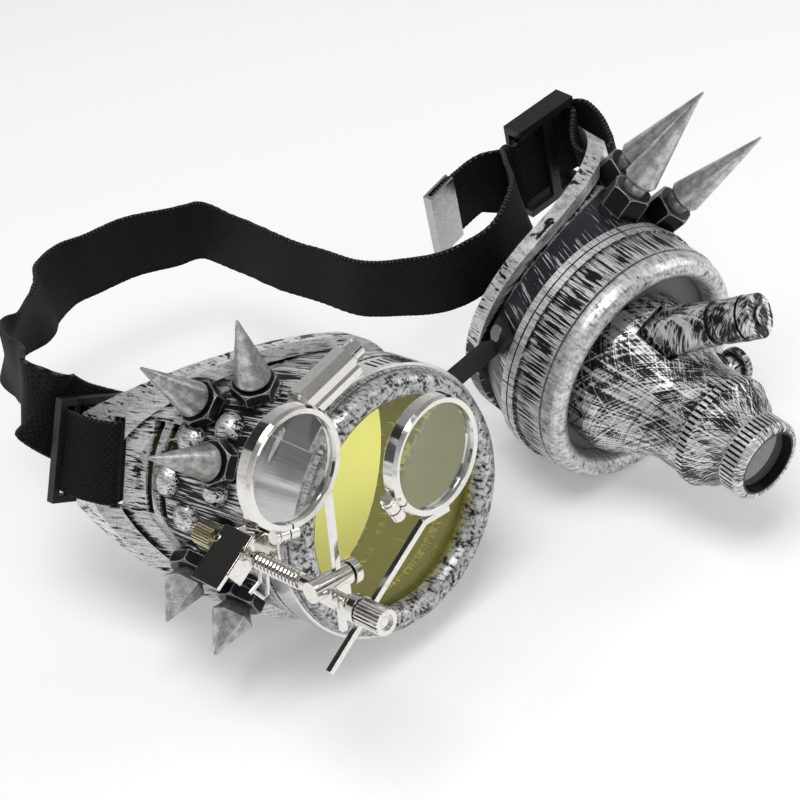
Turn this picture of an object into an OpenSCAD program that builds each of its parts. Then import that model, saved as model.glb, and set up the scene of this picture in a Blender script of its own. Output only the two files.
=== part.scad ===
// Steampunk goggles: two flanged eye cups, a clip-on double loupe, a telescope and an elastic head strap.
// Each cup is drawn level, lens axis along -Y and temple side towards -X, then turned to where it lies.

/* [Lenses and rings] */
// Diameter of the main lens
lens_d = 50; // [44:0.5:54]
// Thickness of the main lens
lens_t = 2; // [1.5:0.1:3]
// How far the ring's lip covers the lens edge
lip_cover = 1.6; // [1:0.1:2.5]
// Wall of the ring's threaded skirt
skirt_wall = 1.7; // [1.2:0.1:2.5]
// Height of the left ring's domed front
left_ring_dome = 3.2; // [2:0.1:5]
// Height of the right ring's domed front
right_ring_dome = 4.4; // [2:0.1:6]
// Thickness of the lens gasket
gasket_t = 1.4; // [0.8:0.1:2.5]

/* [Eye cups] */
// Wall of the barrel outside the ring's thread
barrel_wall = 2.4; // [1.5:0.1:4]
// Length of the plain barrel in front of the collars
barrel_len = 7.8; // [6:0.1:12]
// Width of each of the two collars
collar_w = 1.7; // [1:0.1:3]
// How far the collars stand out of the barrel
collar_h = 0.7; // [0.3:0.1:1.5]
// Wall of the flared cup
cup_wall = 2; // [1.4:0.1:3]
// Reach of the eye flange towards the temple
flange_temple = 42.4; // [40:0.2:46]
// Reach of the eye flange towards the nose
flange_nose = 26.3; // [25:0.1:29]
// Half height of the eye flange
flange_half_h = 31.9; // [30.5:0.1:35]
// Thickness of the eye flange
flange_t = 2.4; // [1.6:0.1:3.5]
// Radius of the face curve that the flange follows
face_r = 49.7; // [48:0.1:54]
// Width of the raised rim round the flange
rim_w = 3; // [2:0.1:4]
// Height of the raised rim
rim_h = 1.2; // [0.4:0.1:2]

/* [Spikes] */
// Hexagon nut, across flats
nut_af = 9; // [8:0.1:11]
// Height of the short nuts
short_nut_t = 3; // [2:0.1:5]
// Height of the tall nuts
tall_nut_t = 6; // [4:0.1:8]
// Diameter of a cone spike at its base
spike_d = 8; // [6:0.1:10]
// Length of the left upper cones
left_spike_len = 17; // [10:0.5:24]
// Length of the right cones
right_spike_len = 23.5; // [14:0.5:30]
// Length of the lower faceted spikes
stud_len = 12; // [8:0.5:18]
// Diameter of the spike screws
screw_d = 2.9; // [2:0.1:3.5]

/* [Hose clamp] */
// Width of the clamp band
band_w = 6.4; // [4:0.1:7]
// Thickness of the clamp band
band_t = 0.7; // [0.4:0.1:1]
// Length of the worm housing
housing_len = 14; // [11:0.5:18]
// Diameter of the worm screw
worm_d = 3.8; // [3:0.1:4.4]

/* [Loupes] */
// Outer diameter of a loupe rim
loupe_od = 24.4; // [20:0.2:30]
// Depth of a loupe rim
loupe_depth = 3.4; // [2.4:0.1:5]
// Diameter of the rod that carries the loupes
rod_d = 2; // [1.6:0.1:2.4]
// Wire of the coil spring
spring_wire = 0.7; // [0.4:0.05:0.9]
// Side of a loupe arm's square bar
arm_w = 1.25; // [0.9:0.05:1.4]

/* [Telescope] */
// Outer diameter of the telescope foot
foot_d = 38.4; // [34:0.2:42]
// Outer diameter of the telescope tube
tube_d = 25.8; // [23:0.2:28]
// Wall of the telescope tube
tube_wall = 1.8; // [1.2:0.1:2.2]
// Outer diameter of the milled ring
milled_d = 27.2; // [26:0.2:30]
// Outer diameter of the eyepiece cap
cap_d = 19.2; // [18:0.2:22]
// Bore of the eyepiece cap's mouth
eye_bore_d = 14.8; // [12:0.1:15.6]
// Diameter of the lever's barrel
lever_d = 10; // [8:0.2:11]

/* [Strap] */
// Width of the elastic strap
strap_w = 18.4; // [14:0.2:20]
// Thickness of the elastic strap
strap_t = 1.1; // [0.8:0.1:1.4]
// Depth of the buckle's bars
bar_t = 2.2; // [1.6:0.1:3]
// Width of the buckle's bars
bar_w = 1.6; // [1.2:0.1:2]

/* [Fits] */
// Radial clearance of a turning thread
thread_gap = 0.08; // [0.04:0.01:0.1]
// Clearance of a shaft in its bore
shaft_gap = 0.06; // [0.03:0.01:0.1]
// Gap between pieces that move past each other
free_gap = 0.3; // [0.2:0.05:0.5]
// Gap between fixed pieces
seat_gap = 0.05; // [0.02:0.01:0.1]

/* [Hidden] */
$fn = 48;

// Where the assembly's floor centre lies, seen from the point midway between the lenses
origin_at = [2.1, 38.9, -1];

// Pose of each cup: lens centre, yaw, tilt and roll
left_at = [-35.3, -1.7, 33.7] - origin_at;
left_turn = [3.4, -9.9, 23.6];
right_at = [39.3, -1.7, 28.9] - origin_at;
right_turn = [-3.1, 4.9, -18.5];

// Radii that follow from the lens
ring_bore = lens_d / 2 - lip_cover;
skirt_in = lens_d / 2 + free_gap;
skirt_out = skirt_in + skirt_wall;
barrel_in = skirt_out + thread_gap;
barrel_r = barrel_in + barrel_wall;
ring_out = barrel_r - 0.5;
collar_r = barrel_r + collar_h;
cup_r = barrel_r + 0.5;

// Depths behind the plane of the ring, along +Y
lip_back = 0.9;
lens_y = lip_back + free_gap;
gasket_y = lens_y + lens_t;
seat_y = gasket_y + gasket_t;
barrel_y = 0.65;
collar_y = barrel_y + barrel_len;
cup_y = collar_y + 2 * collar_w + 0.4;
seat_t = 1.8;

// Curve of the face behind the cups
face_a = 5;
face_y = 21.5 + face_r;
back_y = 56.6;

// The flared wall narrows and moves towards the temple with depth
flare_y = 50;
flare_shift = -12.2;
flare_a = 24.8;
flare_b = 24.2;
function flare_k(y) = max(0, (y - cup_y) / (flare_y - cup_y));
function wall_c(y) = flare_shift * flare_k(y);
function wall_a(y) = cup_r + (flare_a - cup_r) * flare_k(y);
function wall_b(y) = cup_r + (flare_b - cup_r) * flare_k(y);
// Point of the flared wall at depth y and angle t, moved out by d
function on_wall(y, t, d) = [wall_c(y) + (wall_a(y) + d) * cos(t), y, (wall_b(y) + d) * sin(t)];

// Turns a point of a level cup into the assembly
function turn_y(p, t) = [p.x * cos(t) + p.z * sin(t), p.y, p.z * cos(t) - p.x * sin(t)];
function turn_x(p, t) = [p.x, p.y * cos(t) - p.z * sin(t), p.y * sin(t) + p.z * cos(t)];
function turn_z(p, t) = [p.x * cos(t) - p.y * sin(t), p.x * sin(t) + p.y * cos(t), p.z];
function posed(p, at, t) = at + turn_z(turn_x(turn_y(p, t[2]), t[1]), t[0]);
function from_left(p) = posed(p, left_at, left_turn);
function from_right(p) = posed([-p.x, p.y, p.z], right_at, right_turn);
function unit(v) = v / norm(v);

// Level left cup
module at_left() {
    translate(left_at) rotate([0, 0, left_turn[0]]) rotate([left_turn[1], 0, 0])
        rotate([0, left_turn[2], 0]) children();
}

// Level right cup, drawn with its temple towards -X and mirrored
module at_right() {
    translate(right_at) rotate([0, 0, right_turn[0]]) rotate([right_turn[1], 0, 0])
        rotate([0, right_turn[2], 0]) mirror([1, 0, 0]) children();
}

// Turns +Z into the direction d at the point p
module along(p, d) {
    translate(p) rotate([0, acos(d.z / norm(d)), atan2(d.y, d.x)]) children();
}

// Round bar between two points
module bar(p, q, r) {
    along(p, q - p) cylinder(r = r, h = norm(q - p));
}

// Body of revolution about the lens axis, from points of radius and depth
module turned(points) {
    rotate([90, 0, 0]) rotate_extrude() polygon([for (p = points) [p[0], -p[1]]]);
}

// Straight tube about the lens axis, from depth y0 to y1
module sleeve(r_out, r_in, y0, y1) {
    turned([[r_in, y0], [r_out, y0], [r_out, y1], [r_in, y1]]);
}

// Oval outline with a long temple half and a short nose half
module egg(temple, nose, half_h) {
    polygon([for (t = [0:6:354]) [(cos(t) < 0 ? temple : nose) * cos(t), half_h * sin(t)]]);
}

module egg_block(temple, nose, half_h, y0, y1) {
    translate([0, y1, 0]) rotate([90, 0, 0]) linear_extrude(y1 - y0) egg(temple, nose, half_h);
}

// Section of the flared wall at depth y, grown by d
module wall_disc(y, d) {
    translate([wall_c(y), y + 0.1, 0]) rotate([90, 0, 0]) linear_extrude(0.1)
        polygon([for (t = [0:7.5:352.5]) [(wall_a(y) + d) * cos(t), (wall_b(y) + d) * sin(t)]]);
}

module flare(d, y0) {
    hull() {
        wall_disc(y0, d);
        wall_disc(back_y + 2, d);
    }
}

// Solid behind the face curve of radius r
module face_cut(r) {
    translate([face_a, face_y, -60]) cylinder(r = r, h = 120);
}

// The eye flange with its raised rim and the opening towards the face
module eye_flange() {
    difference() {
        union() {
            intersection() {
                egg_block(flange_temple, flange_nose, flange_half_h, 10, back_y);
                face_cut(face_r);
            }
            intersection() {
                difference() {
                    egg_block(flange_temple, flange_nose, flange_half_h, 10, back_y);
                    egg_block(flange_temple - rim_w, flange_nose - rim_w * 0.6, flange_half_h - rim_w, 9, 60);
                }
                face_cut(face_r + rim_h);
            }
        }
        face_cut(face_r - flange_t);
    }
}

// Slots in the temple wall: two plain ones and the strap's own behind them
slot_c = 2;
slot_half = strap_w / 2 + 0.9;
strap_slot_a = -37.7;
strap_slot_y = face_y - sqrt(pow(face_r, 2) - pow(strap_slot_a - face_a, 2));
strap_slot_turn = atan2(face_y - strap_slot_y, face_a - strap_slot_a);
module strap_slots() {
    for (y = [35.2, 39]) {
        translate([wall_c(y) - wall_a(y) - 4, y - 0.9, slot_c - slot_half]) cube([8, 1.8, 2 * slot_half]);
    }
    translate([strap_slot_a, strap_slot_y, slot_c]) rotate([0, 0, strap_slot_turn])
        cube([9, strap_t + 1.4, 2 * slot_half], center = true);
}

// Seats of the spikes: [depth, angle, direction, nut height]
left_upper = [[29.8, 143, [-0.87, -0.08, 0.48], short_nut_t], [21, 131.5, [-0.55, -0.30, 0.78], short_nut_t],
    [20, 165.3, [-0.97, -0.12, 0.20], short_nut_t]];
left_lower = [[29.4, -143, [-0.67, -0.27, -0.69], short_nut_t], [20, -132, [-0.62, -0.20, -0.75], short_nut_t]];
right_upper = [[17.7, 126.5, [-0.64, -0.30, 0.70], tall_nut_t], [30.9, 141.3, [-0.62, -0.47, 0.63], tall_nut_t],
    [15, 149.6, [-0.62, -0.52, 0.58], tall_nut_t]];
boss_t = cup_wall + 1.4;
boss_d = nut_af;
head_t = 1.4;
function seat_of(s) = on_wall(s[0], s[1], 0.9);

module at_seat(s) {
    along(seat_of(s), s[2]) children();
}

module spike_bosses(seats) {
    for (s = seats) {
        at_seat(s) translate([0, 0, -boss_t]) cylinder(d = boss_d, h = boss_t);
    }
}

module spike_holes(seats) {
    for (s = seats) {
        at_seat(s) {
            translate([0, 0, -12]) cylinder(d = screw_d + 2 * seat_gap, h = 14);
            translate([0, 0, -boss_t - 9]) cylinder(d = screw_d + 4, h = 9);
            cylinder(d = nut_af * 1.3, h = 8);
        }
    }
}

// Cup: barrel with thread bore and lens seat, two collars, flared wall, flange, bosses and slots
module cup_shell(seats, bumps) {
    difference() {
        union() {
            difference() {
                union() {
                    sleeve(barrel_r, ring_bore, barrel_y, collar_y);
                    sleeve(collar_r, barrel_in, collar_y, collar_y + collar_w);
                    sleeve(barrel_r, barrel_in, collar_y + collar_w, collar_y + collar_w + 0.4);
                    sleeve(collar_r, barrel_in, collar_y + collar_w + 0.4, cup_y);
                    flare(0, cup_y);
                    for (b = bumps) {
                        translate(on_wall(b[0], b[1], -1.6)) sphere(r = 4);
                    }
                }
                flare(-cup_wall, cup_y - 1);
                face_cut(face_r - flange_t);
            }
            difference() {
                eye_flange();
                flare(-cup_wall, cup_y - 1);
            }
            difference() {
                spike_bosses(seats);
                face_cut(face_r - flange_t - 0.5);
            }
        }
        sleeve(barrel_in, 0, barrel_y - 1, seat_y);
        sleeve(barrel_in, 0, seat_y + seat_t, cup_y + 0.1);
        spike_holes(seats);
        strap_slots();
    }
}

bump_seats = [[30.3, 158], [34.3, 179], [21, 177], [28.9, -166], [22.2, 150]];

module left_cup_shell() {
    color("gray") at_left() difference() {
        cup_shell(concat(left_upper, left_lower), bump_seats);
        nose_hole(left_nose_t);
    }
}

module right_cup_shell() {
    color("gray") at_right() difference() {
        cup_shell(right_upper, bump_seats);
        nose_hole(right_nose_t);
    }
}

// Screw-on front ring with a domed face and a threaded skirt
dome_c = (ring_bore + ring_out) / 2;
dome_w = (ring_out - ring_bore) / 2;
ring_back = barrel_y - free_gap;
module front_ring(dome) {
    difference() {
        union() {
            turned(concat([[ring_bore, ring_back]], [for (t = [180:-15:0])
                [dome_c + dome_w * cos(t), -0.3 - (dome - 0.3) * sin(t)]], [[ring_out, ring_back]]));
            sleeve(skirt_out, ring_bore, ring_back - 0.1, seat_y - free_gap);
        }
        sleeve(skirt_in, 0, lip_back, seat_y + 1);
    }
}

module left_front_ring() {
    color("silver") at_left() front_ring(left_ring_dome);
}

module right_front_ring() {
    color("silver") at_right() front_ring(right_ring_dome);
}

module left_lens() {
    color("khaki") at_left() sleeve(lens_d / 2, 0, lens_y, lens_y + lens_t);
}

module gasket() {
    sleeve(lens_d / 2, ring_bore + 0.2, gasket_y, seat_y);
}

module left_gasket() {
    color("black") at_left() gasket();
}

module right_gasket() {
    color("black") at_right() gasket();
}

// Hexagon nuts, one on each seat
module nut_set(seats) {
    for (s = seats) {
        at_seat(s) difference() {
            intersection() {
                cylinder(d = nut_af / cos(30), h = s[3], $fn = 6);
                cylinder(d1 = nut_af + 2.4 * s[3], d2 = nut_af + 0.3, h = s[3]);
            }
            translate([0, 0, -1]) cylinder(d = screw_d + 2 * seat_gap, h = s[3] + 2);
        }
    }
}

// Screws from inside the cup through the wall and the nut into the spike
module screw_set(seats, grip) {
    for (s = seats) {
        at_seat(s) {
            translate([0, 0, -boss_t]) cylinder(d = screw_d, h = boss_t + s[3] + grip - 0.4);
            translate([0, 0, -boss_t - head_t]) cylinder(d = screw_d + 3, h = head_t);
        }
    }
}

// Cone spikes with a short neck on the nut
neck_d = 5.4;
module cone_set(seats, len, neck, grip) {
    for (s = seats) {
        at_seat(s) translate([0, 0, s[3]]) difference() {
            union() {
                cylinder(d = neck_d, h = neck);
                translate([0, 0, neck]) cylinder(d1 = spike_d - 0.8, d2 = spike_d, h = 0.8);
                translate([0, 0, neck + 0.8]) cylinder(d1 = spike_d, d2 = 0.6, h = len);
            }
            translate([0, 0, -1]) cylinder(d = screw_d + 2 * seat_gap, h = grip + 1);
        }
    }
}

grip = 4.5;
module left_upper_spikes() {
    color("silver") at_left() cone_set(left_upper, left_spike_len, 0.5, grip);
}

module right_spikes() {
    color("silver") at_right() cone_set(right_upper, right_spike_len, 2.5, grip);
}

// Lower spikes: six flat sides on a narrower foot
module left_lower_spikes() {
    color("silver") at_left() for (s = left_lower) {
        at_seat(s) translate([0, 0, s[3]]) difference() {
            union() {
                cylinder(d1 = neck_d, d2 = spike_d + 1.4, h = 3, $fn = 6);
                translate([0, 0, 3]) cylinder(d1 = spike_d + 1.4, d2 = 0.6, h = stud_len - 3, $fn = 6);
            }
            translate([0, 0, -1]) cylinder(d = screw_d + 2 * seat_gap, h = grip + 1);
        }
    }
}

module left_spike_nuts() {
    color("dimgray") at_left() nut_set(concat(left_upper, left_lower));
}

module right_spike_nuts() {
    color("dimgray") at_right() nut_set(right_upper);
}

module left_spike_screws() {
    color("dimgray") at_left() screw_set(concat(left_upper, left_lower), grip);
}

module right_spike_screws() {
    color("dimgray") at_right() screw_set(right_upper, grip);
}

// Hose clamp round the left barrel: the worm housing sits on the band at the angle clamp_t
band_in = barrel_r + seat_gap;
band_out = band_in + band_t;
band_y = barrel_y + 0.4;
band_mid = band_y + band_w / 2;
clamp_t = 125;
house_w = band_w + 1.8;
house_h = worm_d + 1.7;
house_base = band_out + band_t + 2 * seat_gap;
worm_h = house_base + 0.7 + worm_d / 2;

// Frame on the band at the angle t: +X outwards, +Y along the depth, +Z along the band
module on_band(t) {
    rotate([0, -t, 0]) children();
}

module clamp_band() {
    color("lightgray") at_left() difference() {
        union() {
            sleeve(band_out, band_in, band_y, band_y + band_w);
            on_band(clamp_t) rotate([90, 0, 0]) translate([0, 0, -band_y - band_w]) rotate([0, 0, -14])
                rotate_extrude(angle = 42) translate([band_out - 0.1, 0]) square([band_t + 0.1, band_w]);
        }
        for (t = [clamp_t - 68:3.2:clamp_t - 22]) {
            on_band(t) translate([band_in - 1, band_y + 1.3, -0.35]) cube([3, band_w - 2.6, 0.7]);
        }
    }
}

module clamp_housing() {
    w = house_w / 2;
    color("gainsboro") at_left() on_band(clamp_t) difference() {
        union() {
            translate([house_base, band_mid, -housing_len / 2]) linear_extrude(housing_len)
                polygon([[0, -w], [1.6, -w], [2, 0.7 - w], [house_h - 1.6, 0.9 - w], [house_h, 2.6 - w],
                [house_h, w - 2.6], [house_h - 1.6, w - 0.9], [2, w - 0.7], [1.6, w], [0, w]]);
            translate([worm_h, band_mid, -housing_len / 2 - 0.8]) cylinder(d = worm_d + 1.6, h = housing_len + 1.2);
        }
        translate([worm_h, band_mid, -housing_len]) cylinder(d = worm_d + 2 * shaft_gap, h = 2 * housing_len);
    }
}

// Worm screw: threaded core in the housing, slotted head outside
worm_head = 2.6;
worm_out = -housing_len / 2 - 0.8 - free_gap;
module clamp_screw() {
    color("gainsboro") at_left() on_band(clamp_t) translate([worm_h, band_mid, 0]) difference() {
        union() {
            translate([0, 0, worm_out]) cylinder(d = worm_d, h = housing_len + 1.6);
            translate([0, 0, worm_out - worm_head]) cylinder(d = worm_d + 0.8, h = worm_head);
        }
        translate([-worm_d, -0.4, worm_out - worm_head - 1]) cube([2 * worm_d, 0.8, 2]);
    }
}

// Loupe rod, parallel to the lens axis beside the barrel
rod_a = -barrel_r - 5;
rod_b = -7.5;
rod_dip = 1.8;
dip_y = 8;
rod_back = 22;
rod_front = -34.9;
rod_r = rod_d / 2;

// Frame at the rod's axis, which dips a little to the front
module at_rod() {
    translate([rod_a, dip_y, rod_b]) rotate([rod_dip, 0, 0]) translate([0, -dip_y, 0]) children();
}

// Tube about the rod from depth y0 to y1
module on_rod(r_out, r_in, y0, y1) {
    at_rod() sleeve(r_out, r_in, y0, y1);
}

collar_out = rod_r + 0.75;
module loupe_rod() {
    color("gainsboro") at_left() {
        on_rod(rod_r, 0, rod_front, rod_back);
        on_rod(collar_out, 0, 2.4, 3.2);
    }
}

// Clip bracket: foot on the barrel, two flanges that hold the rod, outer jaw plate
jaw_turn = -51.7;
jaw_gap = rod_r + 0.25;
flange_y0 = 4.9;
flange_y1 = 14;
clip_t = 0.9;
foot_in = collar_r + 0.15;
foot_at = 192.3;
module clip_bracket() {
    color("darkgray") at_left() difference() {
        union() {
            intersection() {
                sleeve(foot_in + clip_t, foot_in, band_y, cup_y - 0.4);
                rotate([0, -foot_at, 0]) translate([25, 0, -6]) cube([12, 16, 12]);
            }
            for (y = [flange_y0, flange_y1 - clip_t]) {
                hull() {
                    at_rod() sleeve(rod_r + 1.3, 0, y, y + clip_t);
                    rotate([0, -foot_at, 0]) translate([foot_in + 0.1, min(y, cup_y - 1.4), -3.5])
                        cube([0.7, clip_t, 7]);
                }
                at_rod() rotate([0, jaw_turn, 0]) translate([y == flange_y0 ? -6 : -2, y + 0.05, -2.4])
                    cube([y == flange_y0 ? 9.3 : 5.3, clip_t - 0.1, jaw_gap + clip_t + 2.35]);
            }
            at_rod() rotate([0, jaw_turn, 0]) translate([-9.4, flange_y0 + 0.5, jaw_gap]) cube([12.8, 8.4, clip_t]);
        }
        on_rod(rod_r + seat_gap, 0, -2, 18);
    }
}

// Bent wire legs below the front flange
leg_r = 0.45;
leg_a = [[-33, 5.1, -8.6], [-32.3, 4, -10.2], [-32.2, 4, -13.1], [-34.6, 4, -15.3]];
leg_b = [[-31.6, 5.1, -8.2], [-30.6, 4, -10], [-30.1, 4, -13.5], [-29.9, 4, -16.2], [-30.8, 4, -16.9],
    [-33.4, 5, -14.9]];
module clip_legs() {
    color("gainsboro") at_left() for (leg = [leg_a, leg_b]) {
        wire(leg, leg_r, 10);
    }
}

// Bent wire: a ring of points round each point of the path
function slope(p, i) = unit(p[min(i + 1, len(p) - 1)] - p[max(i - 1, 0)]);
module wire(p, r, m) {
    n = len(p);
    pts = [for (i = [0:n - 1]) let (a = slope(p, i), h = unit(cross(a, [0, 1, 0])), o = cross(a, h))
        for (k = [0:m - 1]) p[i] + r * (cos(k * 360 / m) * h + sin(k * 360 / m) * o)];
    sides = [for (i = [0:n - 2]) for (k = [0:m - 1]) let (j = (k + 1) % m) each
        [[i * m + k, (i + 1) * m + k, (i + 1) * m + j], [i * m + k, (i + 1) * m + j, i * m + j]]];
    polyhedron(points = pts, faces = concat(sides, [[for (k = [0:m - 1]) k],
        [for (k = [m - 1:-1:0]) (n - 1) * m + k]]));
}

// Knurled thumb nut at the rod's back end
nut_knurls = 24;
module knurled(r, y0, y1, n) {
    difference() {
        sleeve(r, 0, y0, y1);
        for (i = [0:n - 1]) {
            rotate([0, i * 360 / n, 0]) translate([r, y1 + 1, 0]) rotate([90, 0, 0])
                cylinder(r = r * 2.2 / n, h = y1 - y0 + 2, $fn = 4);
        }
    }
}

thumb_y0 = flange_y1 + 1.5;
thumb_y1 = 21;
module clip_thumb_nut() {
    color("goldenrod") at_left() difference() {
        at_rod() knurled(rod_r + 1.6, thumb_y0, thumb_y1, nut_knurls);
        on_rod(rod_r + shaft_gap, 0, thumb_y0 - 1, thumb_y1 + 1);
    }
}

// Coil spring between the rod's collar and the inner block
spring_y0 = 1.9;
spring_y1 = -11.1;
spring_turns = 12;
spring_r = rod_r + spring_wire / 2 + 0.2;
coil_steps = 14;
coil_sides = 6;
function coil_c(i) = [spring_r * cos(360 * i / coil_steps),
    spring_y0 + (spring_y1 - spring_y0) * i / (spring_turns * coil_steps), spring_r * sin(360 * i / coil_steps)];
module rod_spring() {
    n = spring_turns * coil_steps;
    m = coil_sides;
    pts = [for (i = [0:n]) for (k = [0:m - 1]) let (c = coil_c(i), w = spring_wire / 2)
        [c.x * (1 + w * cos(k * 360 / m) / spring_r), c.y + w * sin(k * 360 / m),
        c.z * (1 + w * cos(k * 360 / m) / spring_r)]];
    sides = [for (i = [0:n - 1]) for (k = [0:m - 1]) let (j = (k + 1) % m)
        [i * m + k, (i + 1) * m + k, (i + 1) * m + j, i * m + j]];
    color("gainsboro") at_left() at_rod()
        polyhedron(points = pts, faces = concat(sides, [[for (k = [0:m - 1]) k],
            [for (k = [m - 1:-1:0]) n * m + k]]));
}

// Both arms pass the rod on its lens side, this far from its axis
arm_off = rod_r + arm_w / 2 + 0.45;
inner_y = -19.7;
outer_y = -28;
inner_lean = -15.5;
outer_lean = 37.1;
// Frame of an arm: +Z up along it, +X towards the lens side, origin on the rod's axis
module at_block(y, lean) {
    at_rod() translate([0, y, 0]) rotate([0, lean, 0]) children();
}

// Inner block: a sleeve on the rod and a cross barrel above it that clamps the arm
cross_r = 2.2;
cross_half = 4.6;
cross_up = rod_r + 1.9;
sleeve_r = rod_r + 0.65;
block_back = spring_y1 - spring_wire / 2 - free_gap;
block_front = -23.4;
screw_r = 0.75;
hole_w = arm_w + 2 * 0.1;
module inner_block() {
    color("gainsboro") at_left() difference() {
        union() {
            on_rod(sleeve_r, 0, block_front, block_back);
            at_block(inner_y, inner_lean) {
                translate([-cross_half - 0.4, 0, cross_up]) rotate([0, 90, 0])
                    cylinder(r = cross_r, h = 2 * cross_half + 0.4);
                translate([-sleeve_r, -cross_r, -rod_r - 0.4]) cube([sleeve_r + arm_off + hole_w / 2 + 0.5,
                    2 * cross_r, cross_up + rod_r]);
            }
        }
        on_rod(rod_r + shaft_gap, 0, block_front - 1, block_back + 1);
        at_block(inner_y, inner_lean) {
            translate([arm_off - hole_w / 2, -hole_w / 2, -20]) cube([hole_w, hole_w, 40]);
            translate([arm_off, 0, cross_up]) rotate([0, 90, 0]) cylinder(r = screw_r + shaft_gap, h = 20);
        }
    }
}

// Thumb screw in the cross barrel, with a round milled head
module inner_block_screw() {
    color("gainsboro") at_left() at_block(inner_y, inner_lean) translate([0, 0, cross_up]) rotate([0, 90, 0]) {
        translate([0, 0, arm_off + arm_w / 2 + 0.2]) cylinder(r = screw_r, h = cross_half - arm_off);
        translate([0, 0, cross_half + free_gap]) cylinder(r = cross_r + 0.5, h = 1.6);
    }
}

// Outer block: a ball on the rod and a grooved collar that the cap nut presses the arm into
ball_r = 2.3;
ball_y = outer_y + 2.5;
groove_back = outer_y + arm_w / 2 + 0.1;
groove_front = outer_y - arm_w / 2 - 0.05;
module outer_block() {
    color("gainsboro") at_left() difference() {
        union() {
            at_rod() translate([0, ball_y, 0]) sphere(r = ball_r);
            on_rod(sleeve_r, 0, ball_y, block_front - free_gap);
            on_rod(arm_off + hole_w / 2 + 0.1, 0, groove_front, groove_back + 0.6);
        }
        on_rod(rod_r + shaft_gap, 0, groove_front - 1, block_front + 1);
        at_block(outer_y, outer_lean) translate([arm_off - hole_w / 2, groove_front - outer_y - 1, -10])
            cube([hole_w, groove_back - groove_front + 1, 20]);
    }
}

// Knurled cap nut at the rod's front end
end_y1 = groove_front - free_gap;
end_y0 = rod_front - 0.6;
module rod_end_nut() {
    color("gainsboro") at_left() difference() {
        at_rod() knurled(rod_r + 1.75, end_y0, end_y1, 22);
        on_rod(rod_r + seat_gap, 0, rod_front - 0.02, end_y1 + 1);
        on_rod(rod_r + 0.7, 0, end_y0 - 1, rod_front);
    }
}

// Arms: square bars from below the block up to the loupe rims
inner_top = 22;
inner_low = -8.8;
outer_top = 21.3;
outer_low = -13;
module inner_arm() {
    color("gainsboro") difference() {
        at_left() at_block(inner_y, inner_lean)
            translate([arm_off - arm_w / 2, -arm_w / 2, inner_low]) cube([arm_w, arm_w, inner_top - inner_low]);
        at_inner_loupe() sleeve(loupe_r - 0.02, 0, -5, 5);
    }
}

// The outer arm ends in a bent foot under its rim
foot_len = 6.6;
foot_turn = 34.9;
module outer_arm() {
    color("gainsboro") difference() {
        at_left() at_block(outer_y, outer_lean) {
            translate([arm_off - arm_w / 2, -arm_w / 2, outer_low]) cube([arm_w, arm_w, outer_top - outer_low]);
            translate([arm_off, -arm_w / 2, outer_top - 0.2]) rotate([0, foot_turn, 0])
                translate([-arm_w / 2, 0, 0]) cube([arm_w, arm_w, foot_len]);
        }
        at_outer_loupe() sleeve(loupe_r - 0.02, 0, -5, 5);
    }
}

// Loupe rim: a split hoop with a groove for its lens and a closing barrel below
loupe_r = loupe_od / 2;
loupe_bore = loupe_r - 1.5;
glass_r = loupe_r - 0.9;
glass_t = 1.6;
closer_r = 1.5;
module loupe_rim(t) {
    difference() {
        union() {
            turned([[loupe_bore, -loupe_depth / 2], [loupe_r - 0.5, -loupe_depth / 2 - 0.25],
                [loupe_r, -loupe_depth / 2 + 0.5], [loupe_r, loupe_depth / 2 - 0.5],
                [loupe_r - 0.5, loupe_depth / 2], [loupe_bore, loupe_depth / 2]]);
            rotate([0, -t, 0]) translate([loupe_r + closer_r - 0.5, 0, -2.4]) cylinder(r = closer_r, h = 4.8);
        }
        sleeve(glass_r + seat_gap, 0, -glass_t / 2 - seat_gap, glass_t / 2 + seat_gap);
        rotate([0, -t, 0]) translate([loupe_bore - 1, -5, -0.2]) cube([8, 10, 0.4]);
        rotate([0, -t, 0]) translate([loupe_r + closer_r - 0.5, 0, -4]) cylinder(r = 0.7 + seat_gap, h = 8);
    }
}

module loupe_glass() {
    turned([[0, -glass_t / 2 - 0.5], [glass_r * 0.5, -glass_t / 2 - 0.38], [glass_r, -glass_t / 2],
        [glass_r, glass_t / 2], [glass_r * 0.5, glass_t / 2 + 0.38], [0, glass_t / 2 + 0.5]]);
}

module rim_screw(t) {
    rotate([0, -t, 0]) translate([loupe_r + closer_r - 0.5, 0, 0]) {
        translate([0, 0, -3]) cylinder(r = 0.7, h = 6);
        translate([0, 0, -3.3]) cylinder(r = 1.3, h = 0.9);
    }
}

// Each loupe stands on its arm: place in the arm's frame, then upright with a slight turn to the nose
loupe_turn = 4.6;
inner_c = [-6.3, 0, 30.6];
inner_close = -86;
module at_inner_loupe() {
    at_left() at_block(inner_y, inner_lean) translate(inner_c) rotate([0, -inner_lean, 0])
        rotate([0, 0, loupe_turn]) children();
}

outer_c = [-6.3, 0, 31.9];
outer_close = -133.5;
module at_outer_loupe() {
    at_left() at_block(outer_y, outer_lean) translate(outer_c) rotate([0, -outer_lean, 0])
        rotate([0, 0, loupe_turn]) children();
}

module inner_loupe_rim() {
    color("gainsboro") at_inner_loupe() loupe_rim(inner_close);
}

module inner_loupe_lens() {
    color("lightcyan") at_inner_loupe() loupe_glass();
}

module inner_rim_screw() {
    color("gainsboro") at_inner_loupe() rim_screw(inner_close);
}

module outer_loupe_rim() {
    color("gainsboro") at_outer_loupe() loupe_rim(outer_close);
}

module outer_loupe_lens() {
    color("lightcyan") at_outer_loupe() loupe_glass();
}

module outer_rim_screw() {
    color("gainsboro") at_outer_loupe() rim_screw(outer_close);
}

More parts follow.
